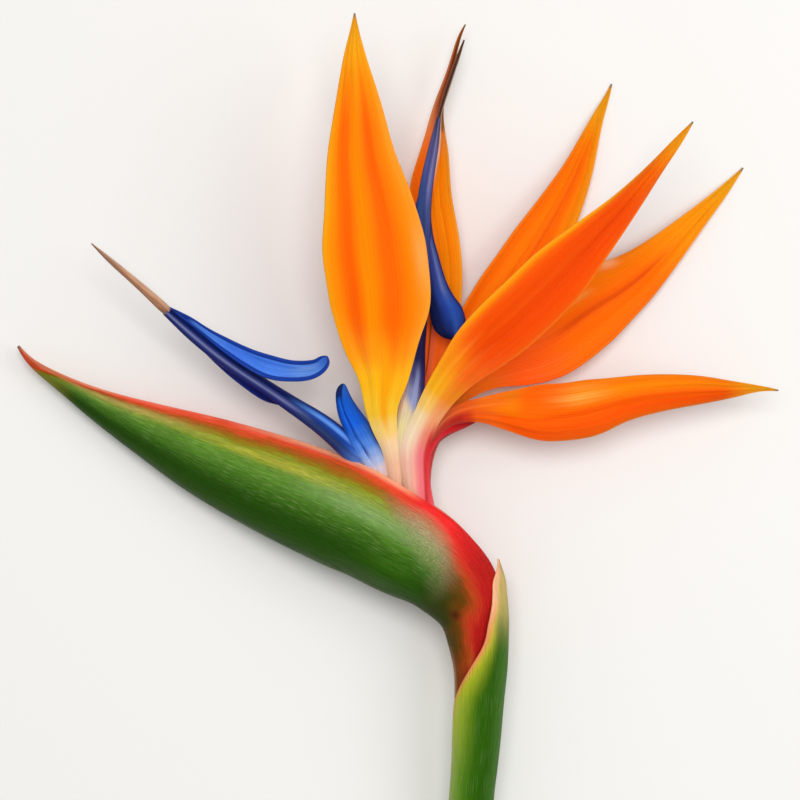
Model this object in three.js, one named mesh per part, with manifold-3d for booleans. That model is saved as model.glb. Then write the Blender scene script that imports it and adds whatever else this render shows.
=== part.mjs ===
// A cut bird of paradise flower, Strelitzia reginae, lying on its side on a flat surface.
//
// Millimetres. The flower is drawn about its neck, where the petals leave the spathe: +X runs from
// the spathe's tip to the fan of sepals, +Y up the stalk, and +Z up from the surface. At the end the
// whole is moved so that the origin is under the middle of its box, on the surface.
//
// Each petal, sepal and bract is a thin sheet swept along its midrib. A station of a sheet is
// [x, y, z, half width, cup, roll]: a point of the midrib, how far the margins stand to each side,
// how far they stand up (or down, if negative) from the midrib, and the turn about the midrib in
// degrees from facing up. Round pieces are swept the same way, with stations [x, y, z, radius].
import * as THREE from 'three';
import Module from 'manifold-3d';

const wasm = await Module();
wasm.setup();

// Driving dimensions.
const SEAT_GAP = 0.3; // clearance between pieces that touch
const SEPAL = { thick: 1.3, rim: 0.7 };
const PETAL = { thick: 1.1, rim: 0.7 };
const BRACT = { thick: 1.0, rim: 0.6 };
const BARB = { thick: 1.6, rim: 0.8 };
const SPATHE_WALL = 1.6;
const SPATHE_WALL_SHARE = 0.45; // most of a slim section's half size that the wall takes
const FOOT_WALL = 0.3; // spread of the foot's closed lips
const BULGE = { scale: 2.26, rise: 0.5, fall: 0.7 }; // the folded spathe's outline in section
const SHEATH_WALL = 1.0;
const SHEATH_TIP = { share: 0.4, radius: 8 }; // share of the wall at the tip, and its growth below
const ARROW_DEPTH = 0.75; // depth of an arrow's shaft over its width
const FINEST_SHEET = 0.35; // thickness at a pointed tip
const LEAST_HALF_WIDTH = 0.15; // of a pointed tip
const FULL_FROM = 3; // half width from which a sheet has its full thickness
const RISE = 18.17; // height of the neck's datum over the surface
const MIDDLE = { x: -1, y: -24 }; // middle of the flower's box, from the neck

const UP = new THREE.Vector3(0, 0, 1);

// ---------------------------------------------------------------- sweeping and solids

// Frames along smoothed stations: a point, the directions to the side and towards the face, and the
// station's other values. Both ends are pushed out by grow.
function framesAlong(stations, steps, grow) {
  const curve = new THREE.CatmullRomCurve3(stations.map(([x, y, z]) => new THREE.Vector3(x, y, z)));
  const rest = stations.map(([, , , a = 0, b = 0, c = 0]) => new THREE.Vector3(a, b, c));
  const values = new THREE.CatmullRomCurve3(rest, false, 'catmullrom');
  return Array.from({ length: steps + 1 }, (_, k) => {
    const along = curve.getTangent(k / steps);
    const side = new THREE.Vector3().crossVectors(along, UP).normalize();
    const face = new THREE.Vector3().crossVectors(side, along);
    const push = k === 0 ? -grow : k === steps ? grow : 0;
    const point = curve.getPoint(k / steps).addScaledVector(along, push);
    return { point, side, face, values: values.getPoint(k / steps) };
  });
}

// Places a section point: u to the side, v towards the face.
function place({ point, side, face }, u, v) {
  return point.clone().addScaledVector(side, u).addScaledVector(face, v);
}

// A closed body through rings of points. Each ring runs along one face and back along the other, so
// an end is closed by a strip between the two.
function loft(rings) {
  const size = rings[0].length;
  const last = (rings.length - 1) * size;
  const triangles = [];
  const quad = (a, b, c, d) => triangles.push(a, b, c, a, c, d);
  for (let r = 0; r < rings.length - 1; r++) {
    for (let i = 0; i < size; i++) {
      const j = (i + 1) % size;
      quad(r * size + i, r * size + j, (r + 1) * size + j, (r + 1) * size + i);
    }
  }
  for (let i = 0; i < size / 2 - 1; i++) {
    quad(size - 1 - i, size - 2 - i, i + 1, i);
    quad(last + i, last + i + 1, last + size - 2 - i, last + size - 1 - i);
  }
  const positions = rings.flat().flatMap((p) => [p.x, p.y, p.z]);
  const solidOf = (faces) => new wasm.Manifold(new wasm.Mesh({
    numProp: 3,
    vertProperties: new Float32Array(positions),
    triVerts: new Uint32Array(faces),
  }));
  const solid = solidOf(triangles);
  return solid.volume() > 0 ? solid : solidOf(triangles.reverse());
}

// A thin sheet along its midrib, thickest there and finer at its margins and its tip.
function sheet(stations, { thick, rim }, grow, steps = 18, across = 6) {
  return loft(framesAlong(stations, steps, grow).map((frame) => {
    const { x: halfWidth, y: cup, z: roll } = frame.values;
    const width = Math.max(halfWidth, LEAST_HALF_WIDTH) + grow;
    const turn = THREE.MathUtils.degToRad(roll);
    const [cos, sin] = [Math.cos(turn), Math.sin(turn)];
    const fineness = Math.min(1, FINEST_SHEET / thick + halfWidth / FULL_FROM);
    const [over, under] = [[], []];
    for (let j = 0; j <= across; j++) {
      const s = -1 + (2 * j) / across;
      const normal = new THREE.Vector2(-2 * cup * s, width).normalize();
      const half = (fineness * (rim + (thick - rim) * (1 - s * s))) / 2 + grow;
      const [u, v] = [width * s, cup * s * s];
      const turned = (a, b) => {
        return place(frame, a * cos + b * sin, b * cos - a * sin);
      };
      over.push(turned(u + normal.x * half, v + normal.y * half));
      under.unshift(turned(u - normal.x * half, v - normal.y * half));
    }
    return [...over, ...under];
  }));
}

// A round or oval rod. depth is its height over its width.
function rod(stations, grow, { steps = 10, sides = 10, depth = 1 } = {}) {
  return loft(framesAlong(stations, steps, grow).map((frame) => {
    const width = frame.values.x + grow;
    const height = frame.values.x * depth + grow;
    return Array.from({ length: sides }, (_, i) => {
      const a = ((i + 0.5) / sides) * 2 * Math.PI;
      return place(frame, width * Math.cos(a), height * Math.sin(a));
    });
  }));
}

// ---------------------------------------------------------------- stalk, sheath and spathe

const PEDUNCLE_TOP = [19, -67.5, -1];

const PEDUNCLE = [
  [...PEDUNCLE_TOP, 4.2],
  [19.5, -74.5, -1.6, 4.5],
  [19.5, -89.5, -3.9, 4.6],
  [18.5, -108.5, -6.2, 4.7],
  [17.5, -125, -8, 4.9],
  [16.5, -144.5, -10.3, 5.4],
  [16.5, -169, -12.4, 5.7],
];

// The swollen joint of the stalk that the sheath grows from.
const NODE_RING = [
  [17.6, -123.5, -7.8, 6.1],
  [17.5, -125.5, -8.1, 6.9],
  [17.4, -127.5, -8.4, 6.1],
];

// The bare stalk, with its joint.
function peduncle(grow) {
  const stalk = rod(PEDUNCLE, grow, { steps: 12, sides: 16 });
  const ring = rod(NODE_RING, grow, { steps: 2, sides: 16 });
  return stalk.add(ring);
}

// Stations of the sheath are [x, y, z, radius, spread]: its axis, its radius, and how far round the
// stalk it reaches each way from its back, in degrees.
const SHEATH = [
  [25.9, -24.3, -0.5, 0.7, 14],
  [25.2, -29, -0.5, 3.2, 34],
  [22.8, -36.5, -0.7, 6.4, 60],
  [23, -46, -0.9, 6.7, 92],
  [22.5, -55, -1, 6.7, 124],
  [21.5, -61, -1, 6.6, 158],
  [21, -65.5, -1, 6.6, 174],
  [20.5, -72, -1.4, 6.5, 176],
  [20, -80.5, -2.4, 6.2, 176],
  [19.3, -89.5, -3.8, 6.1, 176],
  [18.5, -108.5, -6.1, 6.1, 176],
  [17.6, -123, -7.8, 6.2, 176],
];

// The leaf sheath: a tube wrapped round the stalk that opens into a pointed blade above.
function sheath(grow) {
  const steps = 20;
  const around = 12;
  return loft(framesAlong(SHEATH, steps, grow).map((frame) => {
    const { x: radius, y: spread } = frame.values;
    const wall = SHEATH_WALL * Math.min(1, SHEATH_TIP.share + radius / SHEATH_TIP.radius);
    const [outer, inner] = [[], []];
    for (let j = 0; j <= around; j++) {
      const a = THREE.MathUtils.degToRad(spread) * (-1 + (2 * j) / around);
      // The sheath runs down the stalk, so its back, towards +X, is on the sweep's minus side.
      const at = (r) => place(frame, -r * Math.cos(a), r * Math.sin(a));
      outer.push(at(radius + grow));
      inner.unshift(at(radius - wall - grow));
    }
    return [...outer, ...inner];
  }));
}

// Stations of the spathe are [x, y, z, half depth, half thickness, gap]: its axis from throat to
// tip, half the distance from keel to lips, half its width at the widest, and half the opening
// between its two lips.
const SPATHE = [
  [19.5, -53.5, -1, 5.1, 5, 0.4],
  [19.5, -47, -1, 6.6, 5.8, 0.4],
  [19.5, -41, -1.2, 8.2, 6.4, 0.5],
  [18.5, -36, -1.4, 9.5, 6.8, 0.7],
  [16, -31.5, -1.6, 10.7, 7.2, 1.7],
  [11.5, -27.5, -1.8, 11.9, 7.6, 3.8],
  [6, -23.5, -2, 13.1, 7.8, 5.6],
  [-0.5, -20, -2.3, 13.8, 8, 5.8],
  [-7.5, -16, -2.9, 14.2, 8, 5.6],
  [-14.5, -12.6, -4, 14.7, 8, 4],
  [-27.1, -7.2, -6.8, 14.2, 7.8, 1.4],
  [-40.2, -1.8, -9.8, 12.9, 7.2, 0.5],
  [-53.8, 4, -11.7, 10.9, 6.3, 0.4],
  [-68.2, 10.6, -12.6, 7.65, 5, 0.35],
  [-82, 17.4, -12.9, 4.45, 3.3, 0.3],
  [-92.8, 23.8, -13, 2.2, 1.9, 0.2],
  [-101, 29.5, -13, 1, 1.1, 0.15],
  [-104.2, 33.6, -13, 0.4, 0.5, 0.1],
];

// The solid foot of the spathe, where it grows from the stalk, in the same values.
const SPATHE_FOOT = [
  [19, -67, -1, 4.2, 4.2, 0],
  [19, -61, -1, 4.3, 4.4, 0],
  [19.5, -53.5, -1, 5, 4.9, 0.3],
  [19.5, -47.5, -1, 6.3, 5.6, 0.3],
];

// Width of the folded spathe at height h, from 0 at the keel to 1 at the lips: round below, pinched
// above, and 1 at its widest.
const spatheBulge = (h) => BULGE.scale * h ** BULGE.rise * (1 - h) ** BULGE.fall;

// One section of the spathe from the front lip round the keel to the back lip, as [height, width]
// pairs measured from the axis.
function spatheSection({ x: depth, y: thickness, z: gap }, wall, points) {
  const section = [];
  for (let j = 0; j <= points; j++) {
    const s = -1 + (2 * j) / points;
    const h = Math.sin((Math.abs(s) * Math.PI) / 2) ** 2 * 0.35 + Math.abs(s) ** 1.6 * 0.65;
    const width = thickness * spatheBulge(h) + (gap + wall) * h ** 3;
    section.push(new THREE.Vector2(Math.sign(s) * width, depth * (2 * h - 1)));
  }
  return section;
}

function spatheRing(frame, wall, grow, points) {
  const section = spatheSection(frame.values, wall, points);
  const [outer, inner] = [[], []];
  section.forEach((p, j) => {
    const before = section[Math.max(j - 1, 0)];
    const after = section[Math.min(j + 1, points)];
    const out = new THREE.Vector2(after.y - before.y, before.x - after.x).normalize();
    const past = j === 0 ? -grow : j === points ? grow : 0; // the lips grow along the section too
    const at = (d) => place(frame, p.y + out.y * d + out.x * past, p.x + out.x * d - out.y * past);
    outer.push(at(grow));
    inner.unshift(at(-wall - grow));
  });
  return [...outer, ...inner];
}

// The boat-shaped spathe: a folded leaf, open along its lips, on a solid foot.
function spathe(grow) {
  const points = 14;
  const boat = framesAlong(SPATHE, 28, grow).map((frame) => {
    const slim = Math.min(frame.values.x, frame.values.y);
    return spatheRing(frame, Math.min(SPATHE_WALL, SPATHE_WALL_SHARE * slim), grow, points);
  });
  const foot = framesAlong(SPATHE_FOOT, 6, grow).map((frame) => {
    const section = spatheSection(frame.values, FOOT_WALL, points + 1);
    return section.map((p) => place(frame, p.y * (1 + grow / 4), p.x * (1 + grow / 4)));
  });
  return loft(boat).add(loft(foot));
}

// ---------------------------------------------------------------- the two flowers

const OVARY_1 = [
  [17.4, -46.4, -1, 1.6],
  [13.5, -35, -1.6, 2],
  [5.5, -22.5, -2, 2.6],
  [-0.8, -12, -1.9, 3.2],
  [-1.6, -7.2, -1.8, 3.4],
];

const OVARY_2 = [
  [21.4, -46.4, -1, 1.6],
  [18.8, -35.5, -1.4, 2],
  [13, -24.5, -1.6, 2.5],
  [7.2, -14, -1.3, 3.2],
  [5.8, -8.2, -1.1, 3.4],
];

const FLOWER_1_FRONT_SEPAL = [
  [-1, -8, 0.6, 2.2, -1],
  [-1.5, 0, 1.8, 2.3, -1],
  [-2.5, 6, 3.4, 2.6, -0.8],
  [-4, 11, 5.2, 3.4, -0.7],
  [-5, 18, 8, 4.8, -0.7],
  [-4.5, 25.5, 10.5, 7.2, -0.9],
  [-5.2, 35.5, 13.5, 10.9, -1.2],
  [-5.3, 45.5, 16.5, 13.6, -1.5],
  [-6.7, 57.5, 19.5, 13.9, -1.6],
  [-8.3, 70.5, 22, 11.9, -1.5],
  [-10.2, 82.5, 24, 9.3, -1.2],
  [-11, 95.5, 25.5, 6.5, -0.8],
  [-11.9, 108.5, 26.5, 3.3, -0.4],
  [-12, 116.5, 27, 1.2],
  [-12, 121, 27, 0.2],
];

const FLOWER_1_MIDDLE_SEPAL = [
  [-3.4, -7.5, -4.2, 1.8, 0.8],
  [-2.5, 0, -5.2, 2, 0.8],
  [0.5, 6.5, -6.2, 2.7, 1],
  [3.5, 13.5, -7.4, 3.8, 1.4],
  [7, 21.5, -8.6, 4.9, 2],
  [9, 31, -9.8, 5.7, 3],
  [10, 42, -11, 6.3, 4],
  [10.5, 53, -12, 6.5, 4.5],
  [9.5, 64, -12.5, 6.4, 4.8],
  [8, 75, -12.5, 6, 4.5],
  [9, 85, -12, 4.4, 3.5],
  [10, 93.5, -11, 2.2, 1.8],
  [10.6, 100, -10.2, 1.1, 0.8],
  [13.4, 109, -9.2, 0.7],
  [16.4, 117.5, -8.3, 0.5],
  [18, 121, -8, 0.2],
];

const FLOWER_1_BACK_SEPAL = [
  [0.5, -7.5, -4.7, 1.8, 0.8],
  [1.5, 0, -6, 2, 0.8],
  [3.5, 6.5, -8, 2.7, 1],
  [8, 15, -10.5, 3.8, 1.2],
  [13.5, 24, -12, 5.2, 1.6],
  [18.5, 32.5, -13.2, 6.6, 1.9],
  [23.7, 40.8, -14, 7.5, 2],
  [29.1, 48.8, -14.8, 7.9, 2.1],
  [36.1, 58.8, -15.6, 7.8, 2],
  [43.4, 71.2, -16.2, 6.1, 1.6],
  [49, 82.7, -16.8, 4, 1],
  [53.7, 95.1, -17.3, 1.8, 0.4],
  [56.5, 101.5, -17.7, 0.8],
  [58, 105.5, -17.9, 0.2],
];

const FLOWER_2_FRONT_SEPAL = [
  [4.4, -9, 1.7, 3, -1],
  [3.9, 0, 2.9, 3.1, -1],
  [4.2, 6, 4.5, 3.3, -0.9],
  [6.4, 12.5, 6.6, 3.5, -0.8],
  [9.5, 18.5, 8.8, 4.2, -0.9],
  [14.5, 25.5, 12, 5.4, -1.2],
  [21.5, 33, 15, 7.6, -1.4],
  [30, 40.5, 17.5, 8.5, -1.5],
  [40, 50, 19.5, 8.2, -1.5],
  [50.5, 60.5, 21.5, 6, -1.2],
  [59.8, 70.8, 23, 3.8, -0.8],
  [68.2, 80.8, 24, 2, -0.4],
  [74, 88, 24.6, 1.1],
  [77.5, 92.5, 25, 0.2],
];

const FLOWER_2_BACK_SEPAL = [
  [6.5, -8.5, -4.1, 1.8, 0.8],
  [6.5, -0.5, -4.8, 2, 0.8],
  [7.5, 6, -5.4, 2.4, 1],
  [10, 12.5, -6.4, 3.3, 1.1],
  [14, 20, -7.4, 3.9, 1.3],
  [21, 26.5, -8.6, 6, 1.5],
  [29, 31.5, -10.2, 9.8, 1.9],
  [40.2, 37.1, -12.4, 12, 2.2],
  [50.9, 44.4, -14, 11.5, 2.2],
  [61.1, 50.1, -15.2, 8.3, 1.7],
  [72, 59.3, -16.2, 5.2, 1.1],
  [82.5, 69.9, -17, 2.7, 0.6],
  [88.4, 76, -17.5, 1.5, 0.3],
  [94, 82.5, -17.9, 0.2],
];

const FLOWER_2_LOW_SEPAL = [
  [6.8, -9, -1.9, 1.9, -0.6, 65],
  [5.9, -1.5, -1.7, 1.9, -0.6, 65],
  [6.5, 4.8, -1.4, 2.1, -0.6, 58],
  [9.4, 10, -0.9, 2.3, -0.5, 42],
  [13.8, 14.1, -0.2, 2.5, -0.5, 22],
  [20.3, 16, 0.6, 3.1, -0.6, 5],
  [29.5, 16, 1.4, 5.5, -1],
  [40, 15.5, 1.8, 7.8, -1.3],
  [50, 16.5, 1.6, 7.8, -1.3],
  [59.5, 19, 1, 6.2, -1.1],
  [70, 20.8, 0.2, 5.1, -0.8],
  [81, 21.6, -0.8, 3.9, -0.6],
  [90.5, 21.8, -1.8, 2.2, -0.3],
  [97.5, 22, -3, 0.8],
  [102.5, 21.5, -4, 0.2],
];

const FLOWER_1_HOOD = [
  [-4.4, -7.5, 0, 1.3, -0.3],
  [-5.6, -0.5, 1.2, 2.4, -0.5],
  [-8, 5, 2.4, 3.5, -0.8],
  [-10.8, 10.5, 3, 3.9, -1],
  [-13.4, 15, 3.6, 3.8, -1],
  [-15, 19, 4.2, 2.7, -0.6],
  [-15.9, 23, 4.6, 0.9],
];

const FLOWER_2_HOOD = [
  [5.2, -9, -0.2, 0.9],
  [5.3, 0, 0.4, 1.1],
  [5.9, 6, 1.2, 1.5, -0.3],
  [7.2, 11.5, 2.2, 1.8, -0.5],
  [9.6, 16.5, 3.4, 1.6, -0.4],
  [11.4, 19.5, 4.2, 0.8],
];

const BRACTEOLE = [
  [8.6, -9.5, -2.4, 2.5, -0.8, 65],
  [7.6, -4, -2.2, 2.6, -0.9, 64],
  [7.4, 0.5, -2, 2.6, -0.9, 62],
  [8.2, 5, -2.2, 2.6, -0.9, 57],
  [10.2, 8.3, -3.2, 2.4, -0.8, 50],
  [13, 10.4, -3.8, 2, -0.6, 42],
  [16.7, 11.8, -3.6, 1.3, -0.3, 40],
  [20.3, 13, -3, 0.3, 0, 40],
];

const ARROW_1 = {
  shaft: [
    [-3.2, -8.5, -2, 1.4],
    [-5.5, -1, -1.8, 2.1],
    [-9, 2.5, -1.4, 2.6],
    [-13.5, 5.7, -0.6, 3],
    [-20, 11.3, 0.5, 2.7],
    [-29, 17.6, 1.5, 2.1],
    [-36.8, 22.8, 2.2, 2],
    [-46, 28.9, 2.8, 2],
    [-55.2, 36.2, 3.4, 1.9],
    [-60, 40.3, 3.7, 1.5],
    [-63.2, 43, 4, 1.1],
  ],
  barbs: [
    [
      [-61.5, 42.8, 4, 0.5, 0.1],
      [-56.5, 39.9, 3.8, 0.8, 0.2],
      [-52.6, 37.5, 3.7, 1.2, 0.5],
      [-46.6, 33.5, 3.6, 2, 0.9],
      [-41, 30.3, 3.7, 2.6, 1.1],
      [-34.5, 27.6, 3.9, 3.2, 1.2],
      [-28.9, 26.8, 4.3, 2.9, 1.2],
      [-24.3, 27, 4.9, 2.7, 1.1],
      [-21.3, 28.1, 5.6, 2.1, 0.8],
      [-19.2, 29.8, 6.2, 1.1, 0.3],
    ],
    [
      [-60.5, 41, 3.2, 0.5, -0.1],
      [-52.5, 33, 2.4, 1.1, -0.2],
      [-44.5, 26, 1.6, 1.5, -0.3],
      [-37, 20.5, 0.8, 1.5, -0.3],
      [-32, 18, 0.2, 0.7, -0.1],
    ],
  ],
};

const ARROW_2 = {
  shaft: [
    [3.4, -9.5, -1.2, 1.4],
    [2.3, 0, -0.8, 2],
    [2.3, 8, -0.4, 2.7],
    [3.5, 17.5, -0.7, 2.9],
    [5.3, 26.5, -1.2, 2.5],
    [6, 35, -2, 2.3],
    [6.5, 46, -2.8, 2.3],
    [6, 59.5, -3.4, 2.3],
    [7, 74.5, -3.9, 1.9],
    [8.5, 86.5, -4.3, 1.3],
    [10.5, 95.5, -4.6, 0.5],
  ],
  barbs: [
    [
      [9, 86.5, -4.3, 0.5],
      [8.5, 76, -4, 1.1],
      [9, 63.5, -3.4, 1.9, -0.2],
      [11.5, 52.5, -2.6, 3.2, -0.6],
      [13, 44, -1.8, 4.1, -1],
      [13.5, 38.5, -1.4, 3.8, -1],
      [12.5, 35.5, -1.2, 1.4, -0.3],
    ],
    [
      [7.5, 80, -4.3, 0.8],
      [4.5, 67.5, -4, 1.6],
      [2, 57, -4, 2.4, -0.2],
      [0.5, 47.5, -4, 2.4, -0.4],
      [0, 40.5, -4, 1.1, -0.2],
    ],
  ],
};

const STIGMA_1 = [
  [-63.4, 43.4, 4, 1.2],
  [-70, 49.5, 4.4, 1.05],
  [-77.5, 56, 4.8, 0.75],
  [-83, 61, 5.2, 0.15],
];

const STIGMA_2 = [
  [10.4, 96.2, -4.6, 0.6],
  [11.9, 103.5, -5, 0.8],
  [14.4, 110.5, -5.4, 0.65],
  [17.4, 116.5, -5.8, 0.2],
];

// Two fused petals: a grooved shaft that widens into an arrowhead with two free barbs.
function arrow({ shaft, barbs }, grow) {
  const parts = barbs.map((barb) => sheet(barb, BARB, grow, 10, 4));
  const body = rod(shaft, grow, { steps: 20, sides: 8, depth: ARROW_DEPTH });
  return parts.reduce((joined, part) => joined.add(part), body);
}

// ---------------------------------------------------------------- assembly

// [name, shape, colour, roughness], in the order in which they keep their shape: a piece gives way
// to each one before it, so that petals packed in the neck lie against each other without meeting.
const PIECES = [
  ['spathe', spathe, 0x4c8a2b, 0.45],
  ['peduncle', peduncle, 0x5d8f33, 0.5],
  ['sheath', sheath, 0x6a9a35, 0.5],
  ['flower_1_ovary', (grow) => rod(OVARY_1, grow), 0xf0dcb8, 0.6],
  ['flower_2_ovary', (grow) => rod(OVARY_2, grow), 0xf0dcb8, 0.6],
  ['flower_1_front_sepal', (grow) => sheet(FLOWER_1_FRONT_SEPAL, SEPAL, grow), 0xff8a00, 0.5],
  ['flower_2_front_sepal', (grow) => sheet(FLOWER_2_FRONT_SEPAL, SEPAL, grow), 0xfa6a05, 0.5],
  ['flower_1_arrow', (grow) => arrow(ARROW_1, grow), 0x1f3fa8, 0.4],
  ['flower_2_arrow', (grow) => arrow(ARROW_2, grow), 0x1f3f9c, 0.4],
  ['flower_2_low_sepal', (grow) => sheet(FLOWER_2_LOW_SEPAL, SEPAL, grow, 22), 0xff8212, 0.5],
  ['bracteole', (grow) => sheet(BRACTEOLE, BRACT, grow, 12), 0xd81e32, 0.5],
  ['flower_1_middle_sepal', (grow) => sheet(FLOWER_1_MIDDLE_SEPAL, SEPAL, grow), 0xff7a10, 0.5],
  ['flower_1_back_sepal', (grow) => sheet(FLOWER_1_BACK_SEPAL, SEPAL, grow), 0xff820a, 0.5],
  ['flower_2_back_sepal', (grow) => sheet(FLOWER_2_BACK_SEPAL, SEPAL, grow), 0xff820a, 0.5],
  ['flower_1_hood_petal', (grow) => sheet(FLOWER_1_HOOD, PETAL, grow, 10), 0x2558c8, 0.45],
  ['flower_2_hood_petal', (grow) => sheet(FLOWER_2_HOOD, PETAL, grow, 10), 0x2558c8, 0.45],
  ['flower_1_stigma', (grow) => rod(STIGMA_1, grow, { sides: 6, steps: 6 }), 0xc99a74, 0.6],
  ['flower_2_stigma', (grow) => rod(STIGMA_2, grow, { sides: 6, steps: 6 }), 0xa05a38, 0.6],
];

const overlaps = (a, b) => [0, 1, 2].every((i) => a.min[i] < b.max[i] && b.min[i] < a.max[i]);

// What is left of a solid beside its neighbours, without any slivers that they cut off.
function fitted(solid, neighbours) {
  const box = solid.boundingBox();
  const close = neighbours.filter((n) => overlaps(box, n.boundingBox()));
  const left = close.reduce((body, n) => body.subtract(n), solid).decompose();
  return left.sort((a, b) => b.volume() - a.volume())[0];
}

function meshOf(name, solid, color, roughness) {
  const { vertProperties, triVerts } = solid.getMesh();
  const geometry = new THREE.BufferGeometry()
    .setAttribute('position', new THREE.BufferAttribute(vertProperties, 3))
    .setIndex(new THREE.BufferAttribute(triVerts, 1));
  geometry.computeVertexNormals();
  const mesh = new THREE.Mesh(geometry, new THREE.MeshStandardMaterial({ color, roughness, metalness: 0 }));
  mesh.name = name;
  return mesh;
}

const flower = new THREE.Group();
const taken = [];
for (const [name, shape, color, roughness] of PIECES) {
  flower.add(meshOf(name, fitted(shape(0), taken), color, roughness));
  taken.push(shape(SEAT_GAP));
}
flower.position.set(-MIDDLE.x, -MIDDLE.y, RISE);

export default flower;
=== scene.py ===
"""Looks of the bird of paradise flower: each petal, bract and stalk swept again in full detail over
the CAD frame, with procedural materials that follow the growth of each piece."""
import math

import bpy
import numpy as np
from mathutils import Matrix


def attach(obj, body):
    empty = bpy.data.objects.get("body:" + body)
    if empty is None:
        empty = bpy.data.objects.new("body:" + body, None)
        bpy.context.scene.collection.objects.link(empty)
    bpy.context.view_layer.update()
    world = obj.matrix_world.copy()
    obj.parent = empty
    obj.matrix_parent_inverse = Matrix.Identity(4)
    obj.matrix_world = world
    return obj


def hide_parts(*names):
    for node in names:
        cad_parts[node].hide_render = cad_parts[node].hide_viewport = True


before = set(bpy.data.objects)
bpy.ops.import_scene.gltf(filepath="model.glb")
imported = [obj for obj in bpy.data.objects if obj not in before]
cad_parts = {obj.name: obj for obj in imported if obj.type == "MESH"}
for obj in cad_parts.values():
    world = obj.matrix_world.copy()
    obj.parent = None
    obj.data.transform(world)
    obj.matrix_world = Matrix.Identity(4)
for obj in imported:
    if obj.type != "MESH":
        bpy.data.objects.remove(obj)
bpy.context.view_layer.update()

# ------------------ frame and camera

MM = 0.001
NECK = np.array([1.0, 24.0, 18.17])  # the flower's datum, the neck, in the frame, in mm
UP = np.array([0.0, 0.0, 1.0])
CAMERA_PLACE = (0.001, 0.0429, 1.21817)  # looking straight down from 1.2 m above the neck's height

scene = bpy.context.scene
camera_data = bpy.data.cameras.new("camera")
camera_data.sensor_width = 36.0
camera_data.lens = 200.0
camera_data.clip_end = 20.0
camera = bpy.data.objects.new("camera", camera_data)
camera.location = CAMERA_PLACE
bpy.context.collection.objects.link(camera)
scene.camera = camera


# ------------------ curves

FINE_STEPS = 1201  # points along a path before it is spaced evenly


def cubic(at, points, where):
    """Natural cubic spline through points."""
    n = len(at)
    h = np.diff(at)
    slope = np.diff(points, axis=0) / h[:, None]
    system = np.eye(n)
    right = np.zeros_like(points)
    for i in range(1, n - 1):
        system[i, i - 1:i + 2] = h[i - 1], 2 * (h[i - 1] + h[i]), h[i]
        right[i] = 6 * (slope[i] - slope[i - 1])
    bend = np.linalg.solve(system, right)
    i = np.clip(np.searchsorted(at, where, side="right") - 1, 0, n - 2)
    a, b, g = at[i + 1] - where, where - at[i], h[i]
    a, b, g = a[:, None], b[:, None], g[:, None]
    return (
        bend[i] * a**3 / (6 * g)
        + bend[i + 1] * b**3 / (6 * g)
        + (points[i] / g - bend[i] * g / 6) * a
        + (points[i + 1] / g - bend[i + 1] * g / 6) * b
    )


def monotone(at, values, where):
    """Piecewise cubic through values that never overshoots them."""
    h = np.diff(at)[:, None]
    slope = np.diff(values, axis=0) / h
    tangent = np.zeros_like(values)
    tangent[0], tangent[-1] = slope[0], slope[-1]
    both = slope[:-1] * slope[1:] > 0
    mean = 2 * slope[:-1] * slope[1:] / np.where(both, slope[:-1] + slope[1:], 1)
    tangent[1:-1] = np.where(both, mean, 0)
    i = np.clip(np.searchsorted(at, where, side="right") - 1, 0, len(at) - 2)
    g = h[i]
    x = ((where - at[i])[:, None]) / g
    return (
        (1 + 2 * x) * (1 - x) ** 2 * values[i]
        + x * (1 - x) ** 2 * g * tangent[i]
        + x**2 * (3 - 2 * x) * values[i + 1]
        + x**2 * (x - 1) * g * tangent[i + 1]
    )


def blurred(rows, reach):
    """Gaussian blur down the rows that keeps both ends."""
    pad = 3 * reach
    weights = np.exp(-0.5 * (np.arange(-pad, pad + 1) / reach) ** 2)
    weights /= weights.sum()
    start = 2 * rows[0] - rows[pad:0:-1]
    end = 2 * rows[-1] - rows[-2:-pad - 2:-1]
    longer = np.concatenate([start, rows, end])
    columns = [np.convolve(longer[:, k], weights, "valid") for k in range(rows.shape[1])]
    return np.stack(columns, axis=1)


def unit(v):
    return v / np.linalg.norm(v, axis=-1, keepdims=True)


def smoothstep(x, low, high):
    x = np.clip((x - low) / (high - low), 0, 1)
    return x * x * (3 - 2 * x)


def hump(x, centre, width):
    return np.exp(-(((x - centre) / width) ** 2))


class Sweep:
    """Evenly spaced frames along stations [x, y, z, value, value, value]."""

    def __init__(self, stations, rows, blur=14):
        table = np.array([list(s) + [0.0] * (6 - len(s)) for s in stations], float)
        chord = np.linalg.norm(np.diff(table[:, :3], axis=0), axis=1)
        at = np.concatenate([[0.0], np.cumsum(np.sqrt(chord))])
        at /= at[-1]
        fine = np.linspace(0, 1, FINE_STEPS)
        path = blurred(cubic(at, table[:, :3], fine), blur)
        values = blurred(monotone(at, table[:, 3:], fine), blur)
        run = np.concatenate([[0.0], np.cumsum(np.linalg.norm(np.diff(path, axis=0), axis=1))])
        even = np.linspace(0, run[-1], rows + 1)
        pick = lambda a: np.stack([np.interp(even, run, a[:, k]) for k in range(a.shape[1])], 1)
        self.path = pick(path)
        self.values = pick(values)
        self.t = even / run[-1]
        self.length = run[-1]
        self.along = unit(np.gradient(self.path, axis=0))
        self.side = unit(np.cross(self.along, UP))
        self.face = np.cross(self.side, self.along)

    def roll(self, degrees):
        a = np.radians(degrees)[:, None]
        side, face = self.side, self.face
        self.side = side * np.cos(a) - face * np.sin(a)
        self.face = side * np.sin(a) + face * np.cos(a)

    def place(self, u, v):
        """Section points (rows, points): u to the side, v towards the face."""
        return (
            self.path[:, None]
            + self.side[:, None] * u[..., None]
            + self.face[:, None] * v[..., None]
        )


# ------------------ shells

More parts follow.
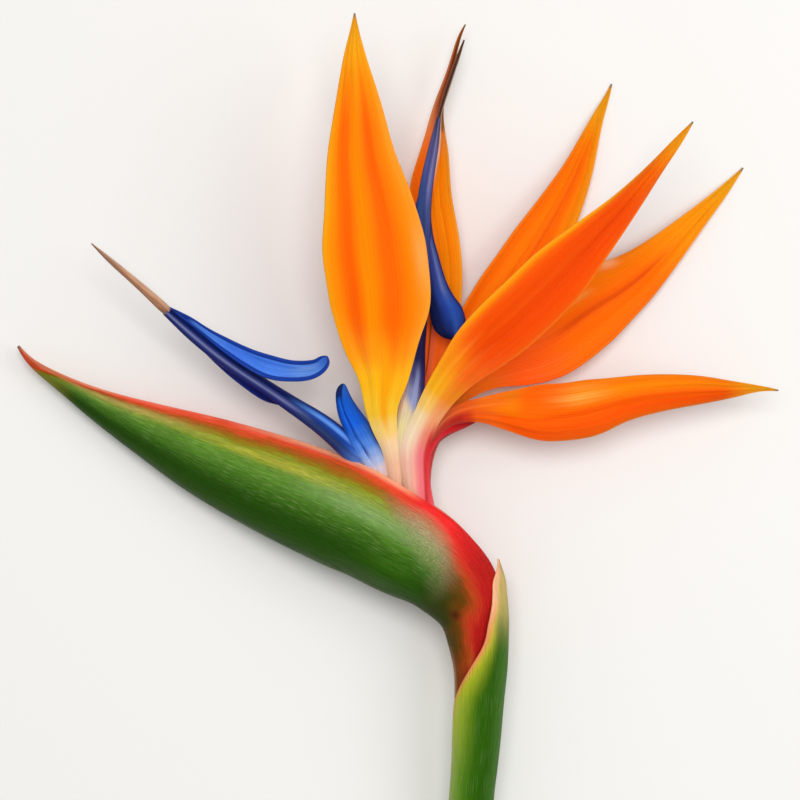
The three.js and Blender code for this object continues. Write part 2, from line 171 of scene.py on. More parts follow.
MARGIN_STEPS = 6  # points round a margin
MARGIN = np.linspace(0, np.pi, MARGIN_STEPS + 2)[1:-1]  # their angles
SHEET_TIP = 0.35  # mm, a sheet's thickness where it runs out
SHEET_LEAST_HALF_WIDTH = 0.06  # mm
ROD_LEAST_RADIUS = 0.05  # mm


def wrapped(over, under):
    """Closed rings round two faces (rows, points, 3), with a round margin at each end."""
    def margin(at, before):
        middle = (over[:, at] + under[:, at]) / 2
        radius = (over[:, at] - under[:, at]) / 2
        out = unit(over[:, at] + under[:, at] - over[:, before] - under[:, before])
        out = out * np.linalg.norm(radius, axis=-1, keepdims=True)
        cos, sin = np.cos(MARGIN)[None, :, None], np.sin(MARGIN)[None, :, None]
        return middle[:, None] + radius[:, None] * cos + out[:, None] * sin

    ring = [over, margin(-1, -2), under[:, ::-1], margin(0, 1)[:, ::-1]]
    return np.roll(np.concatenate(ring, axis=1), MARGIN_STEPS // 2, axis=1)


def ring_values(over, under):
    """Values at the points of wrapped, in its order; across a margin they pass from face to face."""
    blend = (1 + np.cos(MARGIN))[None, :] / 2
    right = over[:, -1:] * blend + under[:, -1:] * (1 - blend)
    left = over[:, :1] * blend + under[:, :1] * (1 - blend)
    ring = [over, right, under[:, ::-1], left[:, ::-1]]
    return np.roll(np.concatenate(ring, axis=1), MARGIN_STEPS // 2, axis=1)


def normals(u, v):
    """A section's unit normals."""
    du, dv = np.gradient(u, axis=1), np.gradient(v, axis=1)
    length = np.hypot(du, dv)
    return -dv / length, du / length


def closed(over, under, sweep, s, t, edge, height=None):
    """The shell between two faces, with the growth coordinates of its points."""
    one = np.ones_like(s)
    height = 0 * s if height is None else height
    values = {"s": s, "t": t, "edge": edge, "run": t * sweep.length, "height": height}
    shell = {name: ring_values(value, value) for name, value in values.items()}
    shell["f"] = ring_values(one, -one)
    shell["rings"] = wrapped(over, under)
    return shell


def sheet(stations, thick, rim, rows=170, across=56, relief=None):
    """A thin blade along its midrib, through stations [x, y, z, half width, cup, roll].
    relief(s, t) lifts the blade."""
    sweep = Sweep(stations, rows)
    half_width, cup, roll = sweep.values.T
    sweep.roll(roll)
    line = np.linspace(-1, 1, across + 1)
    s = (0.72 * line + 0.28 * np.sin(line * np.pi / 2))[None, :] * np.ones((rows + 1, 1))
    t = sweep.t[:, None] * np.ones_like(s)
    fineness = np.minimum(1, SHEET_TIP / thick + half_width / 3)[:, None]
    width = np.maximum(half_width[:, None] - fineness * rim / 2, SHEET_LEAST_HALF_WIDTH)
    u = width * s
    v = cup[:, None] * s**2
    if relief is not None:
        v = v + relief(s, t) * np.minimum(1, width / 6)
    nu, nv = normals(u, v)
    half = fineness * (rim + (thick - rim) * (1 - s**2)) / 2
    over = sweep.place(u + nu * half, v + nv * half)
    under = sweep.place(u - nu * half, v - nv * half)
    return closed(over, under, sweep, s, t, (1 - np.abs(s)) * width)


def rod(stations, rows, around, profile=None):
    """A stem. profile(angle) gives the section's (u, v) over the radius."""
    sweep = Sweep(stations, rows)
    radius = np.maximum(sweep.values[:, :1], ROD_LEAST_RADIUS)
    angle = ((np.arange(around) + 0.5) / around * 2 * np.pi)[None, :] * np.ones((rows + 1, 1))
    t = sweep.t[:, None] * np.ones_like(angle)
    u, v = np.cos(angle), np.sin(angle)
    shell = {"s": u, "t": t, "f": v, "edge": 0 * t, "run": t * sweep.length, "height": 0 * t}
    if profile is not None:
        u, v = profile(angle)
    shell["rings"] = sweep.place(radius * u, radius * v)
    return shell


def build(name, shell, material, node):
    """One object from a closed shell, riding on the body and standing for its CAD node."""
    rings = shell["rings"]
    rows, size = rings.shape[:2]
    index = np.arange(rows * size).reshape(rows, size)
    after = np.roll(index, -1, axis=1)
    quads = np.stack([index[:-1], after[:-1], after[1:], index[1:]], -1).reshape(-1, 4)
    i = np.arange(size // 2 - 1)
    first, last = index[0], index[-1]
    quads = np.concatenate([
        quads,
        np.stack([first[size - 1 - i], first[size - 2 - i], first[i + 1], first[i]], -1),
        np.stack([last[i], last[i + 1], last[size - 2 - i], last[size - 1 - i]], -1),
    ])
    flat = rings.reshape(-1, 3)
    p, q, r, w = (flat[quads[:, k]] for k in range(4))
    volume = np.einsum("ij,ij->", p, np.cross(q, r)) + np.einsum("ij,ij->", p, np.cross(r, w))
    if volume < 0:
        quads = quads[:, ::-1]
    points = (flat + NECK) * MM
    mesh = bpy.data.meshes.new(name)
    mesh.vertices.add(len(points))
    mesh.vertices.foreach_set("co", points.ravel())
    mesh.loops.add(quads.size)
    mesh.loops.foreach_set("vertex_index", quads.ravel())
    mesh.polygons.add(len(quads))
    mesh.polygons.foreach_set("loop_start", np.arange(len(quads)) * 4)
    mesh.update(calc_edges=True)
    mesh.validate()
    mesh.polygons.foreach_set("use_smooth", np.ones(len(mesh.polygons), bool))
    for label, parts in (("grow", "s t f"), ("span", "edge run height")):
        vectors = np.stack([shell[part] for part in parts.split()], -1).astype(np.float32)
        mesh.attributes.new(label, "FLOAT_VECTOR", "POINT").data.foreach_set("vector", vectors.ravel())
    mesh.materials.append(material)
    thing = bpy.data.objects.new(name, mesh)
    bpy.context.collection.objects.link(thing)
    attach(thing, "root")
    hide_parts(node)


# ------------------ materials


def colour(text):
    """A linear colour from a hex string in sRGB."""
    parts = [int(text[i:i + 2], 16) / 255 for i in (0, 2, 4)]
    return tuple(c / 12.92 if c <= 0.04045 else ((c + 0.055) / 1.055) ** 2.4 for c in parts) + (1.0,)


def pairs(text, kind):
    """Pairs of a position and a value of a kind, from text like "0 46583A, 0.5 A29C2C"."""
    return [(float(at), kind(value)) for at, value in (pair.split() for pair in text.split(","))]


class Value:
    """A number or colour that varies over a piece. What is done with it adds nodes to its paint."""

    def __init__(self, paint, socket):
        self.paint = paint
        self.socket = socket

    def math(self, operation, other=None):
        made = self.paint.node("ShaderNodeMath", operation=operation)
        self.paint.put(made.inputs[0], self)
        if other is not None:
            self.paint.put(made.inputs[1], other)
        return Value(self.paint, made.outputs[0])

    def __add__(self, other):
        return self.math("ADD", other)

    def __sub__(self, other):
        return self.math("SUBTRACT", other)

    def __mul__(self, other):
        return self.math("MULTIPLY", other)

    def __truediv__(self, other):
        return self.math("DIVIDE", other)

    def __abs__(self):
        return self.math("ABSOLUTE")

    def step(self, low, high):
        """Smoothly from 0 at low to 1 at high; low may be the larger."""
        made = self.paint.node("ShaderNodeMapRange", interpolation_type="SMOOTHSTEP")
        rising = low < high
        settings = (self, min(low, high), max(low, high), float(not rising), float(rising))
        for socket, value in zip(made.inputs, settings):
            self.paint.put(socket, value)
        return Value(self.paint, made.outputs[0])

    def within(self, low, full, fall, high):
        """0 up to low, 1 from full to fall, 0 again from high."""
        return self.step(low, full) * self.step(high, fall)

    def near(self, centre, reach):
        """1 at centre, falling smoothly to 0 at reach from it."""
        return abs(self - centre).step(reach, 0.0)

    def stops(self, stops, ease):
        """A ramp through (position, colour) stops."""
        made = self.paint.node("ShaderNodeValToRGB")
        made.color_ramp.interpolation = ease
        elements = made.color_ramp.elements
        while len(elements) < len(stops):
            elements.new(1.0)
        for element, (position, value) in zip(elements, stops):
            element.position = position
            element.color = value
        self.paint.put(made.inputs[0], self)
        return Value(self.paint, made.outputs[0])

    def ramp(self, text, ease="EASE"):
        """Colours at positions from 0 to 1, written like "0 46583A, 0.5 A29C2C"."""
        return self.stops(pairs(text, colour), ease)

    def across(self, text, ease="EASE"):
        """The same with positions from -1 to 1."""
        return ((self + 1.0) * 0.5).stops([((at + 1) / 2, tone) for at, tone in pairs(text, colour)], ease)

    def graph(self, text):
        """A number drawn as straight lines between points, written like "0 1.5, 0.4 8"."""
        points = pairs(text, float)
        values = [value for _, value in points]
        low, high = min(values), max(values)
        levels = [(at, (value - low) / (high - low)) for at, value in points]
        drawn = self.stops([(at, (level, level, level, 1.0)) for at, level in levels], "LINEAR")
        return drawn * (high - low) + low

    def tint(self, mask, to, amount):
        """This colour, turned by an amount towards another where the mask is 1."""
        return self.paint.mix(mask * amount, self, to)


class Paint:
    """A node material over the growth coordinates of a piece: s across from -1 to 1, t along from 0
    to 1, f which face, edge (from the margin) and run (along) in mm. height is the spathe's and the
    sheath's own. On a stem, s and f are the two directions of the section."""

    def __init__(self, name, gloss, subsurface, radius=(1.0, 0.4, 0.15), shine=(1.0, 1.0, 1.0)):
        self.material = bpy.data.materials.new(name)
        self.material.use_nodes = True
        self.tree = self.material.node_tree
        self.shader = self.tree.nodes["Principled BSDF"]
        self.shader.inputs["Specular IOR Level"].default_value = gloss
        self.shader.inputs["Specular Tint"].default_value = shine + (1.0,)
        self.shader.inputs["Subsurface Weight"].default_value = subsurface
        self.shader.inputs["Subsurface Radius"].default_value = radius
        self.shader.inputs["Subsurface Scale"].default_value = 0.0016
        self.s, self.t, self.f = self.parts("grow")
        self.edge, self.run, self.height = self.parts("span")

    def node(self, kind, **settings):
        made = self.tree.nodes.new(kind)
        for key, value in settings.items():
            setattr(made, key, value)
        return made

    def put(self, socket, value):
        if isinstance(value, Value):
            self.tree.links.new(value.socket, socket)
        else:
            socket.default_value = colour(value) if isinstance(value, str) else value

    def parts(self, label):
        source = self.node("ShaderNodeAttribute", attribute_name=label)
        split = self.node("ShaderNodeSeparateXYZ")
        self.tree.links.new(source.outputs["Vector"], split.inputs[0])
        return [Value(self, output) for output in split.outputs]

    def mix(self, factor, a, b):
        made = self.node("ShaderNodeMix", data_type="RGBA")
        for socket, value in ((0, factor), (6, a), (7, b)):
            self.put(made.inputs[socket], value)
        return Value(self, made.outputs[2])

    def noise(self, x, y, z, detail=2.0, low=0.3, high=0.7):
        """Noise over three coordinates, stretched to run from 0 to 1."""
        place = self.node("ShaderNodeCombineXYZ")
        for socket, value in zip(place.inputs, (x, y, z)):
            self.put(socket, value)
        made = self.node("ShaderNodeTexNoise")
        made.inputs["Scale"].default_value = 1.0
        made.inputs["Detail"].default_value = detail
        self.tree.links.new(place.outputs[0], made.inputs["Vector"])
        return Value(self, made.outputs[0]).step(low, high)

    def fibres(self, across, along, seed, *look):
        """Streaks along the growth: so many across the piece and along it."""
        return self.noise(self.s * across, self.t * along, self.f * 1.7 + seed, *look)

    def threads(self, across, along, seed, *look):
        """Streaks on the spathe and the sheath: so many over their height and for each mm along."""
        return self.noise(self.height * across, self.run * along, seed, *look)

    def finish(self, base, middle, spread, source, height, depth):
        """The shader's colour, a roughness about middle that varies with source, and relief."""
        self.put(self.shader.inputs["Base Color"], base)
        self.put(self.shader.inputs["Roughness"], source * spread + (middle - spread / 2))
        bump = self.node("ShaderNodeBump")
        bump.inputs["Strength"].default_value = 1.0
        bump.inputs["Distance"].default_value = depth
        self.put(bump.inputs["Height"], height)
        self.tree.links.new(bump.outputs[0], self.shader.inputs["Normal"])
        return self.material


# ------------------ sepals

SEPAL_THICK = 1.15
SEPAL_RIM = 0.5

FLOWER_1_FRONT_SEPAL = [
    [-1, -8, 0.6, 2.3, -1], [-1.4, 0, 1.8, 2.4, -1], [-2.4, 6, 3.4, 2.6, -0.8],
    [-4, 11, 5.2, 3.4, -0.7], [-5, 18, 8, 4.8, -0.7], [-4.5, 25.5, 10.5, 7.2, -0.9],
    [-5.2, 35.5, 13.5, 10.9, -1.2], [-5.3, 45.5, 16.5, 13.6, -1.5], [-6.7, 57.5, 19.5, 13.9, -1.6],
    [-8.3, 70.5, 22, 11.9, -1.5], [-10.2, 82.5, 24, 9.3, -1.2], [-11, 95.5, 25.5, 6.5, -0.8],
    [-11.9, 108.5, 26.5, 3.3, -0.4], [-12, 116.5, 27, 1.2], [-12, 121, 27, 0.2],
]
FLOWER_1_MIDDLE_SEPAL = [
    [-3.4, -7.5, -4.2, 1.8, 0.8], [-2.5, 0, -5.2, 2, 0.8], [0.5, 6.5, -6.2, 2.7, 1],
    [3.5, 13.5, -7.4, 3.8, 1.2], [7, 21.5, -8.4, 4.9, 1.4], [9, 31, -9.4, 5.7, 1.4],
    [10, 42, -10, 6.3, 1.4], [10.5, 53, -10.4, 6.5, 1.5], [9.5, 64, -10.6, 6.4, 1.7],
    [8.2, 75, -10.8, 5.8, 2], [9.2, 85, -10.8, 4.2, 1.6], [9.8, 93.5, -10.4, 2.3, 1],
    [10.8, 100, -10, 1.3, 0.5], [13.7, 109, -9.2, 0.8], [16.1, 117.5, -8.3, 0.5],
    [17.8, 121, -8, 0.2],
]
FLOWER_1_BACK_SEPAL = [
    [0.5, -7.5, -4.7, 1.8, 0.8], [1.5, 0, -6, 2, 0.8], [3.5, 6.5, -8, 2.7, 1],
    [8, 15, -10.5, 3.8, 1.2], [13.5, 24, -12, 5.2, 1.6], [18.5, 32.5, -13.2, 6.6, 1.9],
    [23.7, 40.8, -14, 7.5, 2], [29.1, 48.8, -14.8, 7.9, 2.1], [36.1, 58.8, -15.6, 7.8, 2],
    [43.4, 71.2, -16.2, 6.1, 1.6], [49, 82.7, -16.8, 4, 1], [53.7, 95.1, -17.3, 1.8, 0.4],
    [56.5, 101.5, -17.7, 0.8], [58, 105.5, -17.9, 0.2],
]
FLOWER_2_FRONT_SEPAL = [
    [4.4, -9, 1.7, 3.1, -1], [3.8, 0, 2.9, 3.3, -1], [3.8, 6, 4.5, 3.8, -0.9],
    [6.3, 12.5, 6.6, 3.6, -0.8], [9.5, 18.5, 8.8, 4.2, -0.9], [14.5, 25.5, 12, 5.4, -1.2],
    [21.5, 33, 15, 7.6, -1.4], [30, 40.5, 17.5, 8.5, -1.5], [39.9, 50.1, 19.5, 8.4, -1.5],
    [50.3, 60.8, 21.5, 6.2, -1.2], [59.8, 70.8, 23, 3.8, -0.8], [68.2, 80.8, 24, 2, -0.4],
    [74, 88, 24.6, 1.1], [77.5, 92.5, 25, 0.2],
]
FLOWER_2_BACK_SEPAL = [
    [6.5, -8.5, -4.1, 1.8, 0.8], [6.5, -0.5, -4.8, 2, 0.8], [7.5, 6, -5.4, 2.4, 1],
    [10, 12.5, -6.4, 3.3, 1.1], [14, 20, -7.4, 3.9, 1.3], [21, 26.5, -8.6, 6, 1.5],
    [29, 31.5, -10.2, 9.8, 1.9], [40.4, 36.8, -12.4, 12.1, 2.2], [51.1, 44.2, -14, 11.5, 2.2],
    [61.1, 50.1, -15.2, 8.3, 1.7], [72, 59.3, -16.2, 5.2, 1.1], [82.5, 69.9, -17, 2.7, 0.6],
    [88.4, 76, -17.5, 1.5, 0.3], [94, 82.5, -17.9, 0.2],
]
FLOWER_2_LOW_SEPAL = [
    [6.8, -9, -1.9, 1.9, -0.6, 65], [5.9, -1.5, -1.7, 1.9, -0.6, 65], [6.5, 4.8, -1.4, 2.1, -0.6, 58],
    [9.4, 10, -0.9, 2.3, -0.5, 42], [13.8, 14.1, -0.2, 2.5, -0.5, 22], [20.3, 16, 0.6, 3.1, -0.6, 5],
    [29.5, 16, 1.4, 5.5, -1], [40, 15.5, 1.8, 7.8, -1.3], [50, 16.5, 1.6, 7.8, -1.3],
    [59.5, 19, 1, 6.2, -1.1], [70, 20.8, 0.2, 5.1, -0.8], [81, 21.6, -0.8, 3.9, -0.6],
    [90.5, 21.8, -1.8, 2.2, -0.3], [97.5, 22, -3, 0.8], [102.5, 21.5, -4, 0.2],
]


def pleats(seed, deep):
    """Soft pleats along a blade, and a flutter of its margins."""
    def relief(s, t):
        body = smoothstep(t, 0.12, 0.35) * (1 - smoothstep(t, 0.85, 1))
        folds = np.cos(s * 7.5 + seed + 0.8 * np.sin(t * 4 + seed)) * 0.6
        folds += np.cos(s * 13.0 - seed * 2 + t * 3) * 0.4
        flutter = np.sin(t * 17 + seed * 3) * 0.5 * np.abs(s) ** 3
        return body * (deep * folds + flutter)
    return relief


def sepal_paint(name, seed, blade, claw, reach, tip, streak, extras, claw_right=None, turn=(-0.45, 0.55),
                shift=lambda s, t: s, ripe=0.7):
    """A sepal: a blade ramp across, claw colours up from the base on its left and right side, a tip,
    soft bands and fine veins. reach says where the claw's colours end."""
    paint = Paint(name, 0.3, 0.12, shine=(1, 0.42, 0.1))
    s, t = paint.s, paint.t
    bands = paint.fibres(3.2, 1.3, seed, 1.5, 0.36, 0.64)
    veins = paint.fibres(34, 2.2, seed + 5, 3)
    lines = paint.fibres(52, 1.1, seed + 11, 2, 0.52, 0.7)
    body = shift(s, t).across(blade, "CARDINAL").tint(bands, streak, 0.3).tint(veins, streak, 0.16)
    body = body.tint(lines, "FFA82C", 0.07)
    base = t.ramp(claw)
    if claw_right is not None:
        base = paint.mix(s.step(*turn), base, t.ramp(claw_right))
    base = base.tint(veins, "E8A070", 0.12)
    blend = (t + (bands - 0.5) * 0.04).step(*reach)
    body = paint.mix(blend, base, body)
    body = body.tint(t.step(*tip[:2]), tip[2], 0.85).tint(t.step(0.86, 0.96), "FCAE1C", ripe)
    body = extras(paint, s, t, body).tint(paint.edge.step(0.45, 0) * blend, "F4A030", 0.2)
    body = body.tint(t.step(0.985, 1), "8F8168", 1)
    grain = paint.noise(s * 60, paint.run * 2.2, paint.f, 1)
    return paint.finish(body, 0.42, 0.16, veins, veins * 0.4 + bands * 0.6 + grain * 0.12, 0.00018)


def orange_heart(paint, s, t, body):
    """An orange streak down the middle of the yellow base, and a painted peach highlight on the right
    margin.
    """
    body = body.tint(s.near(0.12, 0.42) * t.within(0.12, 0.19, 0.26, 0.4), "FA9A04", 0.75)
    # painted highlight: a peach patch on the right margin
    return body.tint(s.near(0.9, 0.24) * t.near(0.5, 0.1), "F0AC60", 0.5)


def red_margin(paint, s, t, body):
    """The claw's right margin turns red low down; the blade's left margin stays amber."""
    body = body.tint(s.step(0.62, 0.9) * t.step(0.2, 0.14), "D0141E", 0.9)
    return body.tint(s.step(-0.72, -0.95) * t.step(0.3, 0.42), "FC9E10", 0.6)


def redder_fold_and_painted_highlight(paint, s, t, body):
    """Redder before the fold, and a painted highlight, a pale gleam, where the upper side turns over."""
    body = body.tint(t.within(0.36, 0.41, 0.46, 0.54) * s.step(0.35, -0.15), "FA5400", 0.7)
    # painted highlight where the upper side turns over
    painted_gleam = s.near(-0.5, 0.5) * t.near(0.53, 0.11) * paint.fibres(22, 1.2, 61)
    return body.tint(painted_gleam, "FFBC60", 0.6)


def groove_shade(at, reach, low, high, tone):
    """A narrow darker line along the blade between two heights: painted shade of a groove."""
    def extras(paint, s, t, body):
        # painted shade: the dark line of a groove
        line = s.near(at, reach) * t.within(low, low + 0.08, high - 0.08, high)
        return body.tint(line, tone, 0.7)
    return extras


def groove_shade_and_highlights(paint, s, t, body):
    """The painted shade of the groove, and two painted highlights as pale patches along the margin."""
    body = groove_shade(0.1, 0.11, 0.46, 0.78, "D84800")(paint, s, t, body)
    # painted highlights: two pale patches
    body = body.tint(s.near(-0.95, 0.3) * t.near(0.647, 0.04), "FFC090", 0.6)
    return body.tint(s.near(-0.32, 0.14) * t.near(0.56, 0.05), "FFA850", 0.55)


def brown_strand(paint, s, t, body):
    """The drawn-out tip is brown, darker along its right side; a pale line runs beside the petal,
    and a dark line of painted shadow below it."""
    strand = s.across("-1 C0714C, -0.5 B65C3C, -0.1 8E3A1C, 0.3 5E200E, 1 3C140A")
    body = body.tint(t.step(0.76, 0.84), strand, 1)
    offset = s - t.graph("0 0.1, 0.63 0.1, 0.67 0.18, 0.706 0.27, 0.735 0.42, 0.765 0.6, 0.794 0.76, "
                         "0.82 0.84, 1 0.9")
    body = body.tint(offset.near(0, 0.14) * t.within(0.64, 0.74, 0.8, 0.83), "FFDCC4", 0.95)
    body = body.tint(offset.step(0.06, 0.16) * t.step(0.765, 0.785), "54402F", 0.8)
    body = body.tint(s.near(-0.1, 0.16) * t.step(0.44, 0.4), "D8605C", 0.45)
    # painted shadow: a dark line below the arrow petal's lobe
    return body.tint(s.near(-0.24, 0.08) * t.within(0.25, 0.28, 0.37, 0.4), "501808", 0.8)


def sepal(node, stations, folds, rows=170, **look):
    """One sepal, pleated, with its paint."""
    shell = sheet(stations, SEPAL_THICK, SEPAL_RIM, rows, relief=pleats(*folds))
    build(node + "_petal", shell, sepal_paint(**look), node)


sepal(
    "flower_1_front_sepal", FLOWER_1_FRONT_SEPAL, (1.1, 0.32), rows=190, name="sepal_1_front", seed=1,
    blade="-1 FCAE10, -0.89 FC9408, -0.67 FC7202, -0.44 FB6000, -0.2 FF8C00, 0 FD7A01, 0.22 FC5A00, "
          "0.44 FD6A01, 0.67 FC8207, 0.89 F69420, 1 F4A030",
    claw="0 FABCA0, 0.07 FCC8A6, 0.11 FFD8AC, 0.15 FFD878, 0.19 FFC826, 0.25 FFB800, 0.32 FF9A00, "
         "0.42 FC8004",
    reach=(0.25, 0.38), tip=(0.76, 0.95, "FC9C0A"), streak="FC6E00", extras=orange_heart,
)
sepal(
    "flower_1_middle_sepal", FLOWER_1_MIDDLE_SEPAL, (2.9, 0.1), name="sepal_1_middle", seed=2,
    blade="-1 FA7010, -0.8 FA6A08, -0.5 FF7400, 0 FF8000, 0.38 FF8800, 0.62 FF8A00, 0.88 FF9810, 1 FFA828",
    claw="0 F0C8B0, 0.1 F4D8B4, 0.18 F0A060, 0.26 FA6408, 0.38 FF5E10, 0.46 FF7A00",
    reach=(0.38, 0.45), tip=(0.7, 0.82, "D07850"), streak="FC7000", extras=brown_strand, ripe=0,
)
sepal(
    "flower_1_back_sepal", FLOWER_1_BACK_SEPAL, (0.4, 0.3), name="sepal_1_back", seed=3,
    blade="-1 EC7108, -0.88 F26B03, -0.62 FC7602, -0.38 FC7A02, -0.12 FB6B01, 0.1 FA6701, 0.38 FC7502, "
          "0.62 FC8906, 0.88 F49313, 1 F29A1F",
    claw="0 F0C8B0, 0.12 E0905A, 0.2 EE7A30, 0.3 FA8410, 0.42 F67404",
    reach=(0.36, 0.44), tip=(0.8, 0.94, "FA9008"), streak="FC6A00",
    extras=groove_shade(-0.02, 0.1, 0.56, 0.88, "DE5200"),
)
sepal(
    "flower_2_front_sepal", FLOWER_2_FRONT_SEPAL, (3, 0.3), name="sepal_2_front", seed=4,
    blade="-1 FEA41A, -0.89 FC8004, -0.67 F85802, -0.44 F04A01, -0.22 E84401, 0 E23E02, 0.22 E43C02, "
          "0.44 EC4402, 0.67 F04801, 0.89 F25201, 1 F06008",
    claw="0 FFC0A4, 0.08 FFC6B0, 0.14 FFE6C6, 0.18 FFE4B4, 0.21 FFD068, 0.25 FFB408, 0.32 FF9200, "
         "0.38 FC7404",
    claw_right="0 FA7282, 0.1 F67682, 0.15 F08470, 0.19 F4A06C, 0.25 F0860C, 0.32 F46000, 0.38 F24E02",
    reach=(0.3, 0.42), tip=(0.76, 0.9, "F66A04"), streak="F04A00", extras=red_margin,
)
sepal(
    "flower_2_back_sepal", FLOWER_2_BACK_SEPAL, (1.9, 0.3), name="sepal_2_back", seed=5,
    blade="-1 E8780E, -0.88 F47E0C, -0.62 FC8404, -0.38 FC7C02, -0.12 FD6D02, 0.04 F45C02, 0.12 EA5102, "
          "0.24 FA6602, 0.38 FD6D02, 0.62 FC6F02, 0.88 F06908, 1 E86611",
    claw="0 E07078, 0.1 D03C44, 0.17 D4503C, 0.22 EC7C18, 0.28 FC7404, 0.38 FF5A00, 0.48 FF5E00",
    reach=(0.42, 0.52), tip=(0.68, 0.86, "FF9C0C"), streak="FC6400", extras=groove_shade_and_highlights,
)
# The low sepal's blade carries painted light and shade across its fold: lighter orange above, redder
# below; shift moves where they meet near the base.
sepal(
    "flower_2_low_sepal", FLOWER_2_LOW_SEPAL, (0.9, 0.3), name="sepal_2_low", seed=6,
    blade="-1 E07A0C, -0.89 EE7E0A, -0.67 FB8003, -0.44 FE8404, -0.22 FD7C04, -0.07 FA6D01, 0.03 F25301, "
          "0.22 F65502, 0.44 F24D02, 0.67 EF4F02, 0.89 E25307, 1 D05A0E",
    claw="0 D08A70, 0.14 E48058, 0.19 E0663C, 0.26 EE5C10, 0.31 F87000, 0.38 F96C02",
    claw_right="0 C01018, 0.18 C80A12, 0.24 C40A10, 0.262 DC2C0C, 0.288 FA5C00, 0.38 F66A02",
    reach=(0.3, 0.37), tip=(0.86, 0.97, "F8860C"), streak="F66000", extras=redder_fold_and_painted_highlight,
    turn=(-0.35, 0.15), shift=lambda s, t: s - t.step(0.54, 0.38) * 0.3,
)

# ------------------ blue petals

PETAL = {"thick": 1.1, "rim": 0.6}
BARB = {"thick": 1.3, "rim": 0.9}
SHAFT_DEPTH = 0.75  # a shaft's depth over its width
RIDGE_WIDTH = 0.22

ARROW_1_SHAFT = [
    [-3.2, -8.5, -2, 1.4], [-5.5, -1, -1.8, 2.1], [-9, 2.6, -1.4, 2.8], [-13.4, 5.8, -0.6, 3.2],
    [-19.9, 11.4, 0.5, 2.9], [-29, 17.6, 1.5, 2.3], [-36.8, 22.8, 2.2, 2], [-46, 28.9, 2.8, 2],
    [-55.2, 36.2, 3.4, 1.9], [-60, 40.3, 3.7, 1.55], [-63, 42.9, 4, 1.25],
]
ARROW_1_UPPER = [
    [-62.6, 43.9, 4, 0.35, 0.1], [-56.6, 40.4, 3.8, 0.9, 0.2], [-52.6, 37.5, 3.7, 1.2, 0.5],
    [-46.6, 33.5, 3.6, 2, 0.9], [-41, 30.3, 3.7, 2.6, 1.1], [-34.5, 27.6, 3.9, 3.2, 1.2],
    [-28.9, 26.7, 4.3, 2.9, 1.2], [-24.6, 26.9, 4.9, 2.7, 1.1], [-21.8, 28, 5.6, 2.3, 0.8],
    [-20.5, 29.3, 6.1, 1.9, 0.5], [-19.9, 30.2, 6.3, 1.2, 0.2], [-19.6, 30.7, 6.4, 0.3],
]
ARROW_1_LOWER = [
    [-60.5, 41, 3.2, 0.5, -0.1], [-52.5, 33, 2.4, 1.1, -0.2], [-44.5, 26, 1.6, 1.5, -0.3],
    [-37, 20.5, 0.8, 1.5, -0.3], [-32, 18, 0.2, 0.7, -0.1],
]
ARROW_2_SHAFT = [
    [3.4, -9.5, -1.2, 1.6], [1.9, 0, 0.2, 2.5], [1.5, 9, 2.2, 3], [2.9, 16.5, 2.4, 3.2],
    [4.4, 25, 0.6, 2.4], [5, 34, -1.4, 1.9], [5.6, 45, -2.8, 2.1], [6, 59.5, -3.4, 2.3],
    [6.8, 74.5, -3.9, 1.9], [8.9, 86.5, -4.3, 1.4], [10.5, 95.5, -4.6, 0.6],
]
ARROW_2_RIGHT = [
    [8.2, 84, -4.3, 0.5], [7.3, 72, -4, 1.1], [7.2, 64, -3.6, 1.7, -0.2], [8, 59, -3.2, 2.1, -0.3],
    [8.9, 54, -2.8, 2.6, -0.5], [9.9, 49, -2.3, 3.3, -0.7], [11.3, 45.3, -1.9, 3.8, -0.9],
    [12.6, 42.2, -1.6, 4.6, -1], [13.3, 39.8, -1.4, 4.6, -1], [13.9, 37.6, -1.3, 3.6, -0.8],
    [14.3, 36.1, -1.2, 2.2, -0.4], [14.5, 35.3, -1.2, 0.6],
]
ARROW_2_LEFT = [
    [7.5, 80, -4.3, 0.8], [4.5, 67.5, -4, 1.6], [2, 57, -4, 2.4, -0.2], [0.5, 47.5, -4, 2.4, -0.4],
    [0, 40.5, -4, 1.1, -0.2],
]
HOOD_1 = [
    [-4.4, -7.5, 0, 1.3, -0.3], [-5.6, -0.5, 1.2, 2.4, -0.5], [-8.1, 5, 2.4, 3.3, -0.8],
    [-11, 10.5, 3, 3.5, -0.9], [-13.6, 15, 3.6, 3, -0.9], [-15, 18.5, 4.2, 2.3, -0.6],
    [-15.5, 21.2, 4.6, 1.7, -0.3], [-15.3, 22.8, 4.8, 0.9, -0.1], [-15.2, 23.3, 4.8, 0.3],
]
HOOD_2 = [
    [5.2, -9, -0.2, 0.9], [5.3, 0, 0.4, 1.1], [5.9, 6, 1.2, 1.5, -0.3], [7.2, 11.5, 2.2, 1.8, -0.5],
    [9.6, 16.5, 3.4, 1.6, -0.4], [11.4, 19.5, 4.2, 0.8],
]


def ridged(centre, height):
    """A shaft's section with a ridge along its upper face."""
    def profile(angle):
        u = np.cos(angle)
        top = smoothstep(np.sin(angle), 0, 0.5)
        return u, SHAFT_DEPTH * np.sin(angle) + height * hump(u, centre, RIDGE_WIDTH) * top
    return profile


def barb_relief(s, t):
    """Raised margins."""
    return 0.5 * np.abs(s) ** 4


def hood_fold(s, t):
    """The crease between the hood's two panels."""
    return -1.1 * hump(s, -0.38, 0.16) * smoothstep(t, 0.25, 0.4) * (1 - smoothstep(t, 0.8, 0.95))


def blue_paint(name, seed, recipe, veins_tone="0A1250", strength=0.22):
    """A glossy blue petal: its own colours, and fine veins."""
    paint = Paint(name, 0.3, 0.05, radius=(0.2, 0.3, 1), shine=(0.2, 0.4, 1))
    veins = paint.fibres(26, 2.5, seed, 3)
    body = recipe(paint, paint.s, paint.t).tint(veins, veins_tone, strength)
    return paint.finish(body, 0.36, 0.12, veins, veins, 0.00012)


